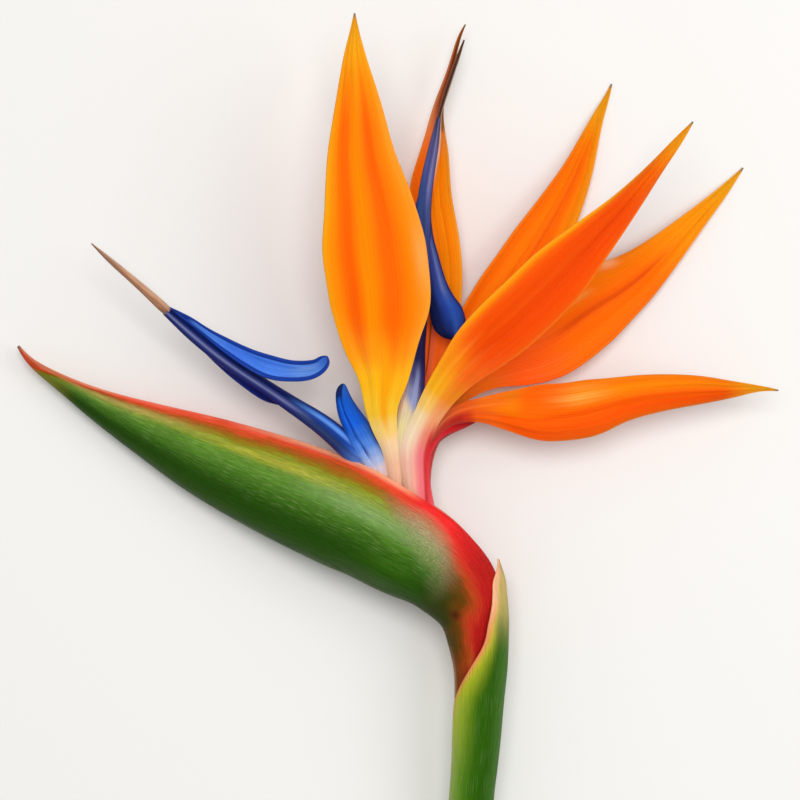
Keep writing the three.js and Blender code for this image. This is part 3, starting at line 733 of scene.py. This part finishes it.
def arrow_1_shaft(paint, s, t):
    """Navy with a painted highlight along the ridge towards the tip, brighter below, white at the base."""
    # the pale stop at -0.2 is a painted highlight along the ridge
    far = s.across("-1 040C5C, -0.75 060E62, -0.5 2C367C, -0.2 8488BA, 0.12 3A427E, 0.38 060C4E, "
                   "0.6 040A48, 0.85 0A145E, 1 0C1868")
    low = s.across("-1 0C1650, -0.75 20306C, -0.45 364678, -0.17 1C3A7A, 0.15 163E9C, 0.45 6CA4FA, "
                   "0.62 4E8CEC, 0.85 103084, 1 0C267C")
    bright = t.ramp("0 FFE4D8, 0.1 F0E6F0, 0.15 A8C0F0, 0.19 5C8CE4, 0.26 3A74DC")
    return paint.mix(t.step(0.28, 0.17), paint.mix(t.step(0.52, 0.36), far, low), bright)


def arrow_1_lobe(paint, s, t):
    """Bright inside, with a band of painted shade in the hollow, and dark raised margins."""
    body = t.ramp("0 2A3A90, 0.07 32488C, 0.12 1A3690, 0.18 5488E4, 0.28 5C96FC, 0.45 5088FC, "
                  "0.56 4E8AF6, 0.7 5C94FF, 0.82 70A4FC, 0.9 6A9EF4, 0.97 4478DC, 1 3866CC")
    # painted shade: a darker band in the hollow of the lobe
    body = body.tint(s.near(-0.5, 0.3) * t.within(0.42, 0.58, 0.76, 0.86), "3068D2", 0.6)
    body = body.tint(abs(s).step(0.76, 0.92), "143490", 1)
    return body.tint(s.near(-0.2, 0.5) * t.near(0.86, 0.09), "8CB4F4", 0.5)


def arrow_2_blade(paint, s, t):
    """Cream and lilac at the base, violet blue above, dark along both margins; a painted highlight down
    the stalk's middle and along the upper ridge, and painted shade down the stalk's right side.
    """
    body = (t + s * 0.03).ramp("0 F8CCB4, 0.14 FFE2B4, 0.19 FFEEA8, 0.235 FFE6B8, 0.27 A4ACD8, "
                               "0.33 565EA6, 0.39 2A2A60, 0.6 242E78, 0.68 36427E, 0.78 40528E, "
                               "0.86 585EA0, 0.93 5C5A90, 0.97 504866, 1 40344A")
    body = body.tint(s.step(-0.5, -0.9) * t.within(0.2, 0.25, 0.28, 0.34), "FFC496", 0.7)
    # painted highlight down the middle of the stalk
    body = body.tint(s.near(0.1, 0.4) * t.within(0.23, 0.27, 0.31, 0.38), "B4C6FC", 0.8)
    # painted shade down the right side of the stalk
    body = body.tint(s.step(0.35, 0.8) * t.within(0.24, 0.28, 0.5, 0.6), "0E1654", 0.85)
    body = body.tint(s.step(0.1, -0.45) * t.within(0.62, 0.7, 0.8, 0.88), "2C549C", 0.75)
    # painted highlight along the upper ridge
    body = body.tint(s.near(0.34, 0.42) * t.step(0.74, 0.84), "8A88BC", 0.8)
    return body.tint(abs(s).step(0.78, 0.97) * t.step(0.36, 0.44), "140E28", 0.9)


def arrow_2_lobe(paint, s, t):
    """A painted highlight along its left half; painted shade, deep navy, on the right; deep navy at the
    end.
    """
    body = t.ramp("0 464C8A, 0.3 444C90, 0.5 3E4A98, 0.64 34489C, 0.76 2848A4, 0.86 2040A0, 0.94 1C3484, "
                  "1 141E50")
    # painted highlight along the left half
    body = body.tint(s.near(-0.5, 0.42) * t.within(0.34, 0.48, 0.7, 0.84), "6C84C8", 0.75)
    body = body.tint(s.near(-0.45, 0.5) * t.step(0.72, 0.82), "2E62C8", 0.7)
    # painted shade over the right half
    body = body.tint(s.step(-0.05, 0.6) * t.step(0.48, 0.7), "0A0A3C", 0.9)
    return body.tint(abs(s).step(0.84, 1), "0C1034", 0.8)


def hood_petal(paint, s, t):
    """Two panels either side of a crease darkened with painted shade, paling to white and pink at the
    base;
    painted shadow over the left margin and painted shade in the hollow of the tip.
    """
    body = t.ramp("0 FAC4B4, 0.17 FFE4DA, 0.24 ECDCE4, 0.31 BCCAF0, 0.38 92B0EE, 0.46 5A90EA, "
                  "0.56 3674DC, 0.66 1866E6, 0.85 1864DC, 1 3470DC")
    # painted shadow over the left margin
    body = body.tint(s.step(-0.55, -0.95) * t.step(0.55, 0.66), "12388A", 0.7)
    line = t.graph("0 -0.2, 0.36 -0.24, 0.46 -0.32, 0.56 -0.46, 0.7 -0.36, 1 -0.3")
    # painted shade along the crease
    body = body.tint((s - line).near(0, 0.28) * t.within(0.34, 0.42, 0.86, 0.93), "00247C", 0.95)
    body = body.tint(s.step(0.55, 0.9) * t.step(0.38, 0.46), "2A509E", 0.6)
    # painted shade in the hollow of the tip
    return body.tint(s.step(0.1, -0.2) * t.step(0.86, 0.92), "0C1A50", 0.9)


def plain_blue(tones):
    """Colours along a narrow fold, lighter at its margins."""
    def recipe(paint, s, t):
        return t.ramp(tones).tint(abs(s).step(0.6, 0.95), "26368A", 0.4)
    return recipe


arrow_1_fold = plain_blue("0 10186C, 0.5 080F66, 1 060C5C")
arrow_2_fold = plain_blue("0 4A5090, 0.4 384488, 1 161E5C")
hood = blue_paint("hood_petal", 5, hood_petal)
for name, shell, material, node in (
    ("flower_1_arrow_petal", rod(ARROW_1_SHAFT, 150, 56, ridged(-0.12, 0.28)),
     blue_paint("arrow_1_shaft", 1, arrow_1_shaft), "flower_1_arrow"),
    ("flower_1_arrow_lobe", sheet(ARROW_1_UPPER, rows=130, across=36, relief=barb_relief, **BARB),
     blue_paint("arrow_1_lobe", 2, arrow_1_lobe, "2C60CC", 0.14), "flower_1_arrow"),
    ("flower_1_arrow_fold", sheet(ARROW_1_LOWER, rows=80, across=24, **BARB),
     blue_paint("arrow_1_fold", 6, arrow_1_fold), "flower_1_arrow"),
    ("flower_2_arrow_petal", rod(ARROW_2_SHAFT, 170, 56, ridged(0.25, 0.25)),
     blue_paint("arrow_2_blade", 3, arrow_2_blade), "flower_2_arrow"),
    ("flower_2_arrow_lobe", sheet(ARROW_2_RIGHT, rows=130, across=36, **BARB),
     blue_paint("arrow_2_lobe", 4, arrow_2_lobe), "flower_2_arrow"),
    ("flower_2_arrow_fold", sheet(ARROW_2_LEFT, rows=100, across=28, **BARB),
     blue_paint("arrow_2_fold", 7, arrow_2_fold), "flower_2_arrow"),
    ("flower_1_hood", sheet(HOOD_1, rows=110, across=48, relief=hood_fold, **PETAL),
     hood, "flower_1_hood_petal"),
    ("flower_2_hood", sheet(HOOD_2, rows=90, across=36, **PETAL),
     hood, "flower_2_hood_petal"),
):
    build(name, shell, material, node)

# ------------------ stigmas, ovaries, bracteole

STIGMA_1 = [
    [-62.3, 42.5, 3.9, 1.15], [-64, 44, 4, 1.3], [-70, 49.5, 4.4, 1.05], [-77.5, 56, 4.8, 0.75],
    [-83, 61, 5.2, 0.15],
]
STIGMA_2 = [
    [10.2, 93.2, -4.6, 0.4], [10.9, 97.2, -4.7, 0.6], [12.8, 103.5, -5, 0.7], [15.2, 110.5, -5.4, 0.6],
    [17.4, 116.6, -5.8, 0.2],
]
OVARY_1 = [
    [17.4, -46.4, -1, 1.6], [13.5, -35, -1.6, 2], [5.5, -22.5, -2, 2.6], [-0.8, -12, -1.9, 3.2],
    [-1.6, -7.2, -1.8, 3.4],
]
OVARY_2 = [
    [21.4, -46.4, -1, 1.6], [18.8, -35.5, -1.4, 2], [13, -24.5, -1.6, 2.5], [6.8, -14, -1.6, 2.7],
    [5.2, -9.5, -1.8, 2.4],
]
BRACTEOLE = [
    [9.2, -12.5, -2.6, 2.4, -0.8, 65], [8.6, -9.5, -2.4, 2.5, -0.8, 65], [7.6, -4, -2.2, 2.6, -0.9, 64],
    [7.4, 0.5, -2, 2.6, -0.9, 62], [8.2, 5, -2.2, 2.6, -0.9, 57], [10.2, 8.3, -3.2, 2.4, -0.8, 50],
    [13, 10.4, -3.8, 2, -0.6, 42], [16.7, 11.8, -3.6, 1.3, -0.3, 40], [20.3, 13, -3, 0.3, 0, 40],
]
GREEN_SHINE = (0.8, 0.8, 0.15)


def stem_paint(name, seed, dark, light, along=None, across=None, fibres=(14, 4), rough=0.5, gloss=0.2,
               shine=(1, 1, 1)):
    """A stem-like piece, coloured along it or across it, with darker and lighter fibres."""
    paint = Paint(name, gloss, 0.08, shine=shine)
    body = paint.s.across(across) if along is None else paint.t.ramp(along)
    if along is not None and across is not None:
        body = paint.mix(0.7, body, paint.s.across(across))
    first = paint.fibres(*fibres, seed, 3)
    second = paint.fibres(fibres[0] * 2.3, fibres[1] * 1.6, seed + 9, 2, 0.45, 0.75)
    body = body.tint(first, dark, 0.35).tint(second, light, 0.25)
    return paint.finish(body, rough, 0.16, first, first + second, 0.0002)


def grooved(angle):
    """A stigma's five-ribbed section."""
    depth = 1 + 0.12 * np.cos(5 * angle)
    return np.cos(angle) * depth, np.sin(angle) * depth


def bracteole_paint():
    """Bright red below, crimson above, darkened inside its fold with painted shade, with a thin pale
    margin.
    """
    paint = Paint("bracteole", 0.3, 0.12, shine=(1, 0.5, 0.5))
    s, t = paint.s, paint.t
    body = t.ramp("0 FF6068, 0.14 FF4E58, 0.3 FA303C, 0.5 F82432, 0.64 F0242E, 0.8 E41820, 0.95 CC0C12")
    # painted shade inside the fold
    body = body.tint(s.step(0, 0.45) * t.within(0.2, 0.36, 0.7, 0.86), "74080C", 0.9)
    veins = paint.fibres(16, 2.5, 1, 3)
    body = body.tint(veins, "9C1020", 0.2)
    body = body.tint(paint.edge.step(0.4, 0) * s.step(0.2, -0.2), "F89098", 0.3)
    return paint.finish(body, 0.4, 0.14, veins, veins, 0.00015)


stigma_1_paint = stem_paint(
    "stigma_1", 1, "7A4A30", "F0CCA8", fibres=(5, 3),
    along="0 6E4430, 0.16 C08860, 0.5 CC9070, 0.85 B0806C, 1 8E6E5C",
    across="-1 5A3828, -0.7 8A5C44, -0.35 AC7454, 0.05 CC8E68, 0.4 F0B894, 1 ECC0A0",
)
stigma_2_paint = stem_paint(
    "stigma_2", 2, "3C180C", "C08868", fibres=(5, 3),
    across="-1 B26A46, -0.5 8A4628, 0 401E14, 0.45 382620, 0.8 9A8470, 1 C0AC96",
)
ovary_paint = stem_paint(
    "ovary", 3, "CDBB84", "FBF2DC", along="0 D9E0A8, 0.5 EAE0B4, 1 F4DCC0",
)
build("flower_1_stigma_tip", rod(STIGMA_1, 80, 40, grooved), stigma_1_paint, "flower_1_stigma")
build("flower_2_stigma_tip", rod(STIGMA_2, 80, 40, grooved), stigma_2_paint, "flower_2_stigma")
build("flower_1_ovary_body", rod(OVARY_1, 80, 40), ovary_paint, "flower_1_ovary")
build("flower_2_ovary_body", rod(OVARY_2, 80, 40), ovary_paint, "flower_2_ovary")
build("bracteole_bract", sheet(BRACTEOLE, 0.9, 0.45, rows=110, across=40), bracteole_paint(),
      "bracteole")

# ------------------ spathe

SPATHE = [
    [19, -67, -1, 4.2, 4.2, 0], [19, -61, -1, 4.3, 4.4, 0.1], [19.5, -53.5, -1, 5.1, 5, 0.3],
    [19.5, -47, -1, 6.6, 5.8, 0.4], [19.3, -41, -1.2, 8.2, 6.4, 0.5], [18, -36.2, -1.4, 10, 6.8, 0.7],
    [15.6, -31.8, -1.6, 11.2, 7.2, 1.7], [11.5, -27.5, -1.8, 11.9, 7.6, 3.8],
    [6, -23.5, -2, 13.1, 7.8, 5.6], [-0.5, -20, -2.3, 13.8, 8, 5.8], [-7.5, -16, -2.9, 14.2, 8, 5.6],
    [-14.5, -12.6, -4, 14.7, 8, 4], [-27.1, -7.2, -6.8, 14.2, 7.8, 1.4],
    [-40.2, -1.8, -9.8, 12.9, 7.2, 0.5], [-53.8, 4, -11.7, 10.9, 6.3, 0.4],
    [-68.2, 10.6, -12.6, 7.65, 5, 0.35], [-82, 17.4, -12.9, 4.45, 3.3, 0.3],
    [-92.8, 23.8, -13, 2.2, 1.9, 0.2], [-101, 29.5, -13, 1, 1.1, 0.15], [-104.2, 33.6, -13, 0.4, 0.5, 0.1],
]
SPATHE_WALL = 1.5
SPATHE_ROWS = 330
SPATHE_POINTS = 100


def softened(a):
    """Softens a section's sharp bend at the keel, keeping its ends."""
    for _ in range(3):
        a = np.concatenate([a[:, :1], (a[:, :-2] + 2 * a[:, 1:-1] + a[:, 2:]) / 4, a[:, -1:]], axis=1)
    return a


def spathe_shell():
    """A folded boat, through stations [x, y, z, depth, thickness, gap between the lips]. Its height h
    runs from the keel, 0, to a lip, 1."""
    sweep = Sweep(SPATHE, SPATHE_ROWS, blur=15)
    depth, thickness, gap = (column[:, None] for column in sweep.values.T)
    s = np.linspace(-1, 1, SPATHE_POINTS + 1)[None, :] * np.ones((SPATHE_ROWS + 1, 1))
    t = sweep.t[:, None] * np.ones_like(s)
    h = np.sin(np.abs(s) * np.pi / 2) ** 2 * 0.35 + np.abs(s) ** 1.6 * 0.65
    wall = np.minimum(SPATHE_WALL, 0.45 * np.minimum(depth, thickness))
    width = thickness * 2.26 * h**0.5 * (1 - h) ** 0.7 + (gap + wall) * h**3
    v = softened(np.sign(s) * width)
    u = softened(depth * (2 * h - 1))
    nu, nv = normals(u, v)
    thin = wall * (1 - 0.35 * smoothstep(h, 0.75, 1))
    outer = sweep.place(u, v)
    inner = sweep.place(u - nu * thin, v - nv * thin)
    return closed(outer, inner, sweep, s, t, (1 - h) * depth * 2, h)


def spathe_paint():
    """Green, greyer at the keel, turning yellow and then red towards the lips; at the bend the red
    spreads down through tan and olive. level says how far a point is past the red's edge."""
    paint = Paint("spathe", 0.1, 0.03, radius=(0.6, 0.6, 0.2), shine=GREEN_SHINE)
    s, h, t, edge = paint.s, paint.height, paint.t, paint.edge
    wobble = paint.noise(paint.run * 0.09, h * 2.5, 3)
    fine = paint.threads(70, 0.1, 7, 4)
    dashes = paint.threads(160, 0.24, 11, 3, 0.45, 0.72)
    speck = paint.threads(90, 1.2, 19, 2, 0.4, 0.68)
    thread = paint.threads(190, 0.35, 23, 2, 0.4, 0.7)

    line = t.graph("0 -0.2, 0.08 -0.1, 0.14 0.05, 0.19 0.3, 0.25 0.54, 0.31 0.7, 0.37 0.81, 0.5 0.82, "
                   "0.75 0.8, 0.86 0.8, 0.92 0.66, 0.96 0.2, 0.985 -0.2")
    reach = t.graph("0 0.7, 0.14 0.6, 0.25 0.42, 0.33 0.28, 0.38 0.15, 0.9 0.14, 1 0.3")
    ragged = t.graph("0 0.08, 0.3 0.1, 0.4 0.3, 1 0.3")
    level = (h - line) / reach + (wobble - 0.5) * 0.25 + (fine - 0.5) * ragged

    green = h.ramp("0 46583A, 0.03 3C5230, 0.09 2E5018, 0.15 224A0E, 0.24 1C4806, 0.3 204C08, "
                   "0.38 32660E, 0.46 467A1A, 0.54 60942E, 0.63 70A034, 0.71 8CAA2C, 0.8 A29C2C", "LINEAR")
    for mask, to, amount in (
        (t.near(0.34, 0.1) * h.step(0.2, 0.08), "425A34", 0.7),
        (t.near(0.31, 0.09) * h.near(0.3, 0.22), "366A0C", 0.8),
        (t.near(0.55, 0.22) * h.near(0.73, 0.09), "D6CA44", 0.8),
        (t.near(0.85, 0.12) * h.near(0.66, 0.12), "A8C054", 0.7),
        (fine, "143A04", 0.4),
        (dashes * h.step(0.18, 0.5), "BCD488", 0.3),
        (thread, "2A5210", 0.35),
        (t.step(0.27, 0.19) * h.step(0.55, 0.4), "323A14", 0.9),
        (t.step(0.87, 0.94), "909030", 0.8),
    ):
        green = green.tint(mask, to, amount)

    place = (level + 0.5) * 0.5
    low = place.ramp("0 2E360A, 0.2 34380C, 0.32 523C0E, 0.4 6E3E0E, 0.46 944014, 0.54 B6421A, "
                     "0.63 C83420, 0.72 BE1A1C, 0.9 B41518")
    bend = place.ramp("0 466E26, 0.12 5A742A, 0.25 80804A, 0.35 A37E58, 0.45 BC6E4B, 0.55 DE5444, "
                      "0.65 F42C2E, 0.8 E8242A")
    lips = place.ramp("0.1 8CA02C, 0.25 98801C, 0.36 A06A1C, 0.5 B8561E, 0.62 DC5026, 0.75 F45236, "
                      "1 FF765C")
    warm = paint.mix(t.step(0.31, 0.39), paint.mix(t.step(0.2, 0.28), low, bend), lips)
    body = paint.mix(level.step(-0.6, 0.05), green, warm)
    for mask, to, amount in (
        (t.near(0.82, 0.2) * h.near(0.78, 0.13), "CCB464", 0.8),  # beige below the front lips
        (t.near(0.29, 0.1) * level.near(0.05, 0.7) * (speck * 0.7 + 0.3), "CCBE98", 0.5),  # dusty bend
        (t.near(0.385, 0.16) * h.near(0.63, 0.16) * (dashes * 0.4 + 0.6), "BED2A0", 0.36),  # bloom
        (t.step(0.94, 0.965) * h.step(0.75, 0.55), "DC4A28", 0.8),  # red tip
        (t.step(0.13, 0.05) * h.step(0.6, 0.45), paint.mix(h.step(0.32, 0.5), "7E3C0C", "C07028"), 0.85),
        (s.near(0, 0.07) * t.within(0.16, 0.28, 0.7, 0.9) * (fine * 0.5 + 0.5), "9CA078", 0.62),  # painted highlight: a pale rim light along the keel
        (edge.step(1.6, 0.2) * t.within(0.31, 0.37, 0.5, 0.66), "FFB48C", 0.8),  # pale lip
        (edge.step(0.8, 0.1) * t.step(0.78, 0.86), "F8A078", 0.7),
        (t.near(0.166, 0.017) * h.near(0.29, 0.13), "4A1410", 0.75),  # the dark spot at the bend
        (h.step(0.1, 0) * t.step(0.13, 0.06), "B88A62", 0.8),
        (t.step(0.99, 1), "A08878", 0.8),
    ):
        body = body.tint(mask, to, amount)
    inside = paint.mix(0.5, "E4C49A", "C4CC88").tint(fine, "D88A6A", 0.5)
    body = paint.mix(paint.f.step(0.2, -0.4), body, inside)
    return paint.finish(body, 0.46, 0.16, fine, fine * 0.7 + dashes * 0.4, 0.00022)


build("spathe_bract", spathe_shell(), spathe_paint(), "spathe")

# ------------------ sheath and stalk

SHEATH = [
    [26.3, -24, -0.5, 0.6, 16, 45], [25.3, -29, -0.5, 3.4, 38, 45], [24.3, -33, -0.6, 4.9, 50, 26],
    [23.4, -36.8, -0.7, 6.1, 63, 10], [22.75, -41, -0.8, 6.8, 74, 3], [22.5, -46, -0.9, 6.9, 84, 0],
    [22.1, -53, -1, 7, 113, 0], [21.6, -59, -1, 6.9, 143, 0], [21.2, -64, -1, 6.8, 168, 0],
    [20.8, -70, -1.2, 6.7, 176, 0], [20.1, -80.5, -2.4, 6.3, 176, 0], [19.3, -89.5, -3.8, 6.1, 176, 0],
    [18.5, -108.5, -6.1, 6.1, 176, 0], [17.6, -123, -7.8, 6.2, 176, 0],
]
SHEATH_WALL = 0.9
SHEATH_ROWS = 230
SHEATH_POINTS = 96
PEDUNCLE = [
    [19, -63.5, -1, 4.1], [19.5, -74.5, -1.6, 4.5], [19.5, -89.5, -3.9, 4.6], [18.5, -108.5, -6.2, 4.7],
    [17.5, -121.5, -7.6, 4.9], [17.5, -123.8, -7.8, 6], [17.5, -125.6, -8.1, 6.9], [17.4, -127.6, -8.4, 6],
    [17.3, -130, -8.8, 5.1], [16.5, -144.5, -10.3, 5.4], [16.5, -169, -12.4, 5.7],
]
CUT_FACE = [[16.5, -168.4, -12.35, 5.35], [16.5, -169.1, -12.41, 5.3]]


def sheath_shell():
    """A rolled leaf, through stations [x, y, z, radius, half its turn, roll]. Its height is the turn
    from its spine, over half a circle."""
    sweep = Sweep(SHEATH, SHEATH_ROWS, blur=10)
    radius, spread, roll = (column[:, None] for column in sweep.values.T)
    sweep.roll(roll[:, 0])
    s = np.linspace(-1, 1, SHEATH_POINTS + 1)[None, :] * np.ones((SHEATH_ROWS + 1, 1))
    t = sweep.t[:, None] * np.ones_like(s)
    angle = np.radians(spread) * s
    wall = SHEATH_WALL * np.minimum(1, 0.4 + radius / 8)
    at = lambda r: sweep.place(-r * np.cos(angle), r * np.sin(angle))
    edge = (1 - np.abs(s)) * np.radians(spread) * radius
    return closed(at(radius), at(radius - wall), sweep, s, t, edge, np.degrees(angle) / 180)


def sheath_paint():
    """Green with pale fibres, yellow-green along its lips, which are salmon and gold near the tip."""
    paint = Paint("sheath", 0.1, 0.04, radius=(0.6, 0.6, 0.2), shine=GREEN_SHINE)
    s, t, edge = paint.s, paint.t, paint.edge
    fine = paint.threads(80, 0.09, 3, 4)
    dashes = paint.threads(130, 0.14, 9, 2, 0.5, 0.8)
    body = abs(paint.height).ramp("0 52703C, 0.08 427024, 0.2 3A6A1A, 0.34 265806, 0.5 2E6208, "
                                  "0.62 4A7C16, 0.74 74A030, 0.86 A0B85C, 1 B4C070", "LINEAR")
    reach = t.graph("0 1.5, 0.12 2.2, 0.22 4, 0.33 8, 0.45 11, 1 11")
    yellow = (edge / reach).step(1, 0) * t.step(0.62, 0.37) * (fine * 0.4 + 0.6)
    wide = edge.step(1.7, 0.5) * t.step(0.24, 0.1)
    narrow = edge.step(0.7, 0.15) * t.step(0.44, 0.34)
    salmon = paint.mix(t.step(0.08, 0.21), "FFBE94", "EE8C60")
    for mask, to, amount in (
        (yellow, "D2D62E", 1),
        (edge.step(2.6, 0.4) * t.step(0.5, 0.38), "DEB440", 0.8),
        (t.step(0.26, 0.05), "E8C678", 0.9),
        (fine, "1C4A04", 0.28),
        (dashes, "B4D488", 0.2),
        (wide.math("MAXIMUM", narrow) * s.step(-0.2, 0.2), salmon, 0.9),
        (s.near(0, 0.06) * t.step(0.5, 0.3), "B8B480", 0.4),
        (paint.f.step(0.2, -0.4), "CFC890", 1),  # the inside
    ):
        body = body.tint(mask, to, amount)
    return paint.finish(body, 0.45, 0.16, fine, fine * 0.7 + dashes * 0.5, 0.0002)


def cut_paint():
    """The cut end: a green skin round pale flesh, dotted with darker bundles."""
    paint = Paint("cut", 0.3, 0.15)
    s, f = paint.s, paint.f
    radius = (s * s + f * f).math("SQRT")
    bundles = paint.noise(s * 9, f * 9, 1, 1, 0.5, 0.62)
    body = radius.ramp("0 D6D2A6, 0.7 CDD09A, 0.88 A8B96C, 0.96 5E8634, 1 4A7428")
    body = body.tint(bundles * radius.step(0.95, 0.8), "96A05C", 0.7)
    return paint.finish(body, 0.5, 0.2, bundles, bundles, 0.0002)


# The stalk's colours across it are painted light and shade: lighter on its left side, darker on its right.
stalk_paint = stem_paint(
    "stalk", 4, "1C4604", "A4C870", fibres=(11, 3.5), rough=0.45, gloss=0.1, shine=GREEN_SHINE,
    across="-1 245A04, -0.5 285E04, -0.2 2E6006, 0.05 4A7A1C, 0.3 6C9C2C, 0.6 94AE4C, 1 94A464",
)
build("sheath_leaf", sheath_shell(), sheath_paint(), "sheath")
build("peduncle_stalk", rod(PEDUNCLE, 240, 64), stalk_paint, "peduncle")
build("peduncle_cut", rod(CUT_FACE, 4, 64), cut_paint(), "peduncle")

# ------------------ floor and light

FLOOR_HALF = 3
LAMPS_AIM = np.array((0.0, 0.0, 0.02))

scene.view_settings.view_transform = "Standard"
floor_mesh = bpy.data.meshes.new("floor")
corners = [(x * FLOOR_HALF, y * FLOOR_HALF, 0) for x, y in ((-1, -1), (1, -1), (1, 1), (-1, 1))]
floor_mesh.from_pydata(corners, [], [(0, 1, 2, 3)])
floor = bpy.data.objects.new("floor", floor_mesh)
bpy.context.collection.objects.link(floor)
floor_material = bpy.data.materials.new("floor")
floor_material.use_nodes = True
floor_shader = floor_material.node_tree.nodes["Principled BSDF"]
floor_shader.inputs["Base Color"].default_value = colour("EAE8E4")
floor_shader.inputs["Roughness"].default_value = 0.7
floor_shader.inputs["Specular IOR Level"].default_value = 0.2
floor_mesh.materials.append(floor_material)

world = bpy.data.worlds.new("world")
world.use_nodes = True
world.node_tree.nodes["Background"].inputs["Color"].default_value = (0.97, 0.98, 1.0, 1.0)
world.node_tree.nodes["Background"].inputs["Strength"].default_value = 0.5
scene.world = world


def lamp(name, place, size, power):
    data = bpy.data.lights.new(name, "AREA")
    data.shape = "DISK"
    data.size = size
    data.energy = power
    thing = bpy.data.objects.new(name, data)
    thing.location = place
    x, y, z = unit(np.array(place) - LAMPS_AIM)
    thing.rotation_euler = (math.acos(z), 0.0, math.atan2(y, x) + math.pi / 2)
    bpy.context.collection.objects.link(thing)


lamp("key", (0.0, 0.24, 1.12), 0.55, 6.4)
lamp("fill", (0.7, 0.1, 0.8), 0.8, 3.4)
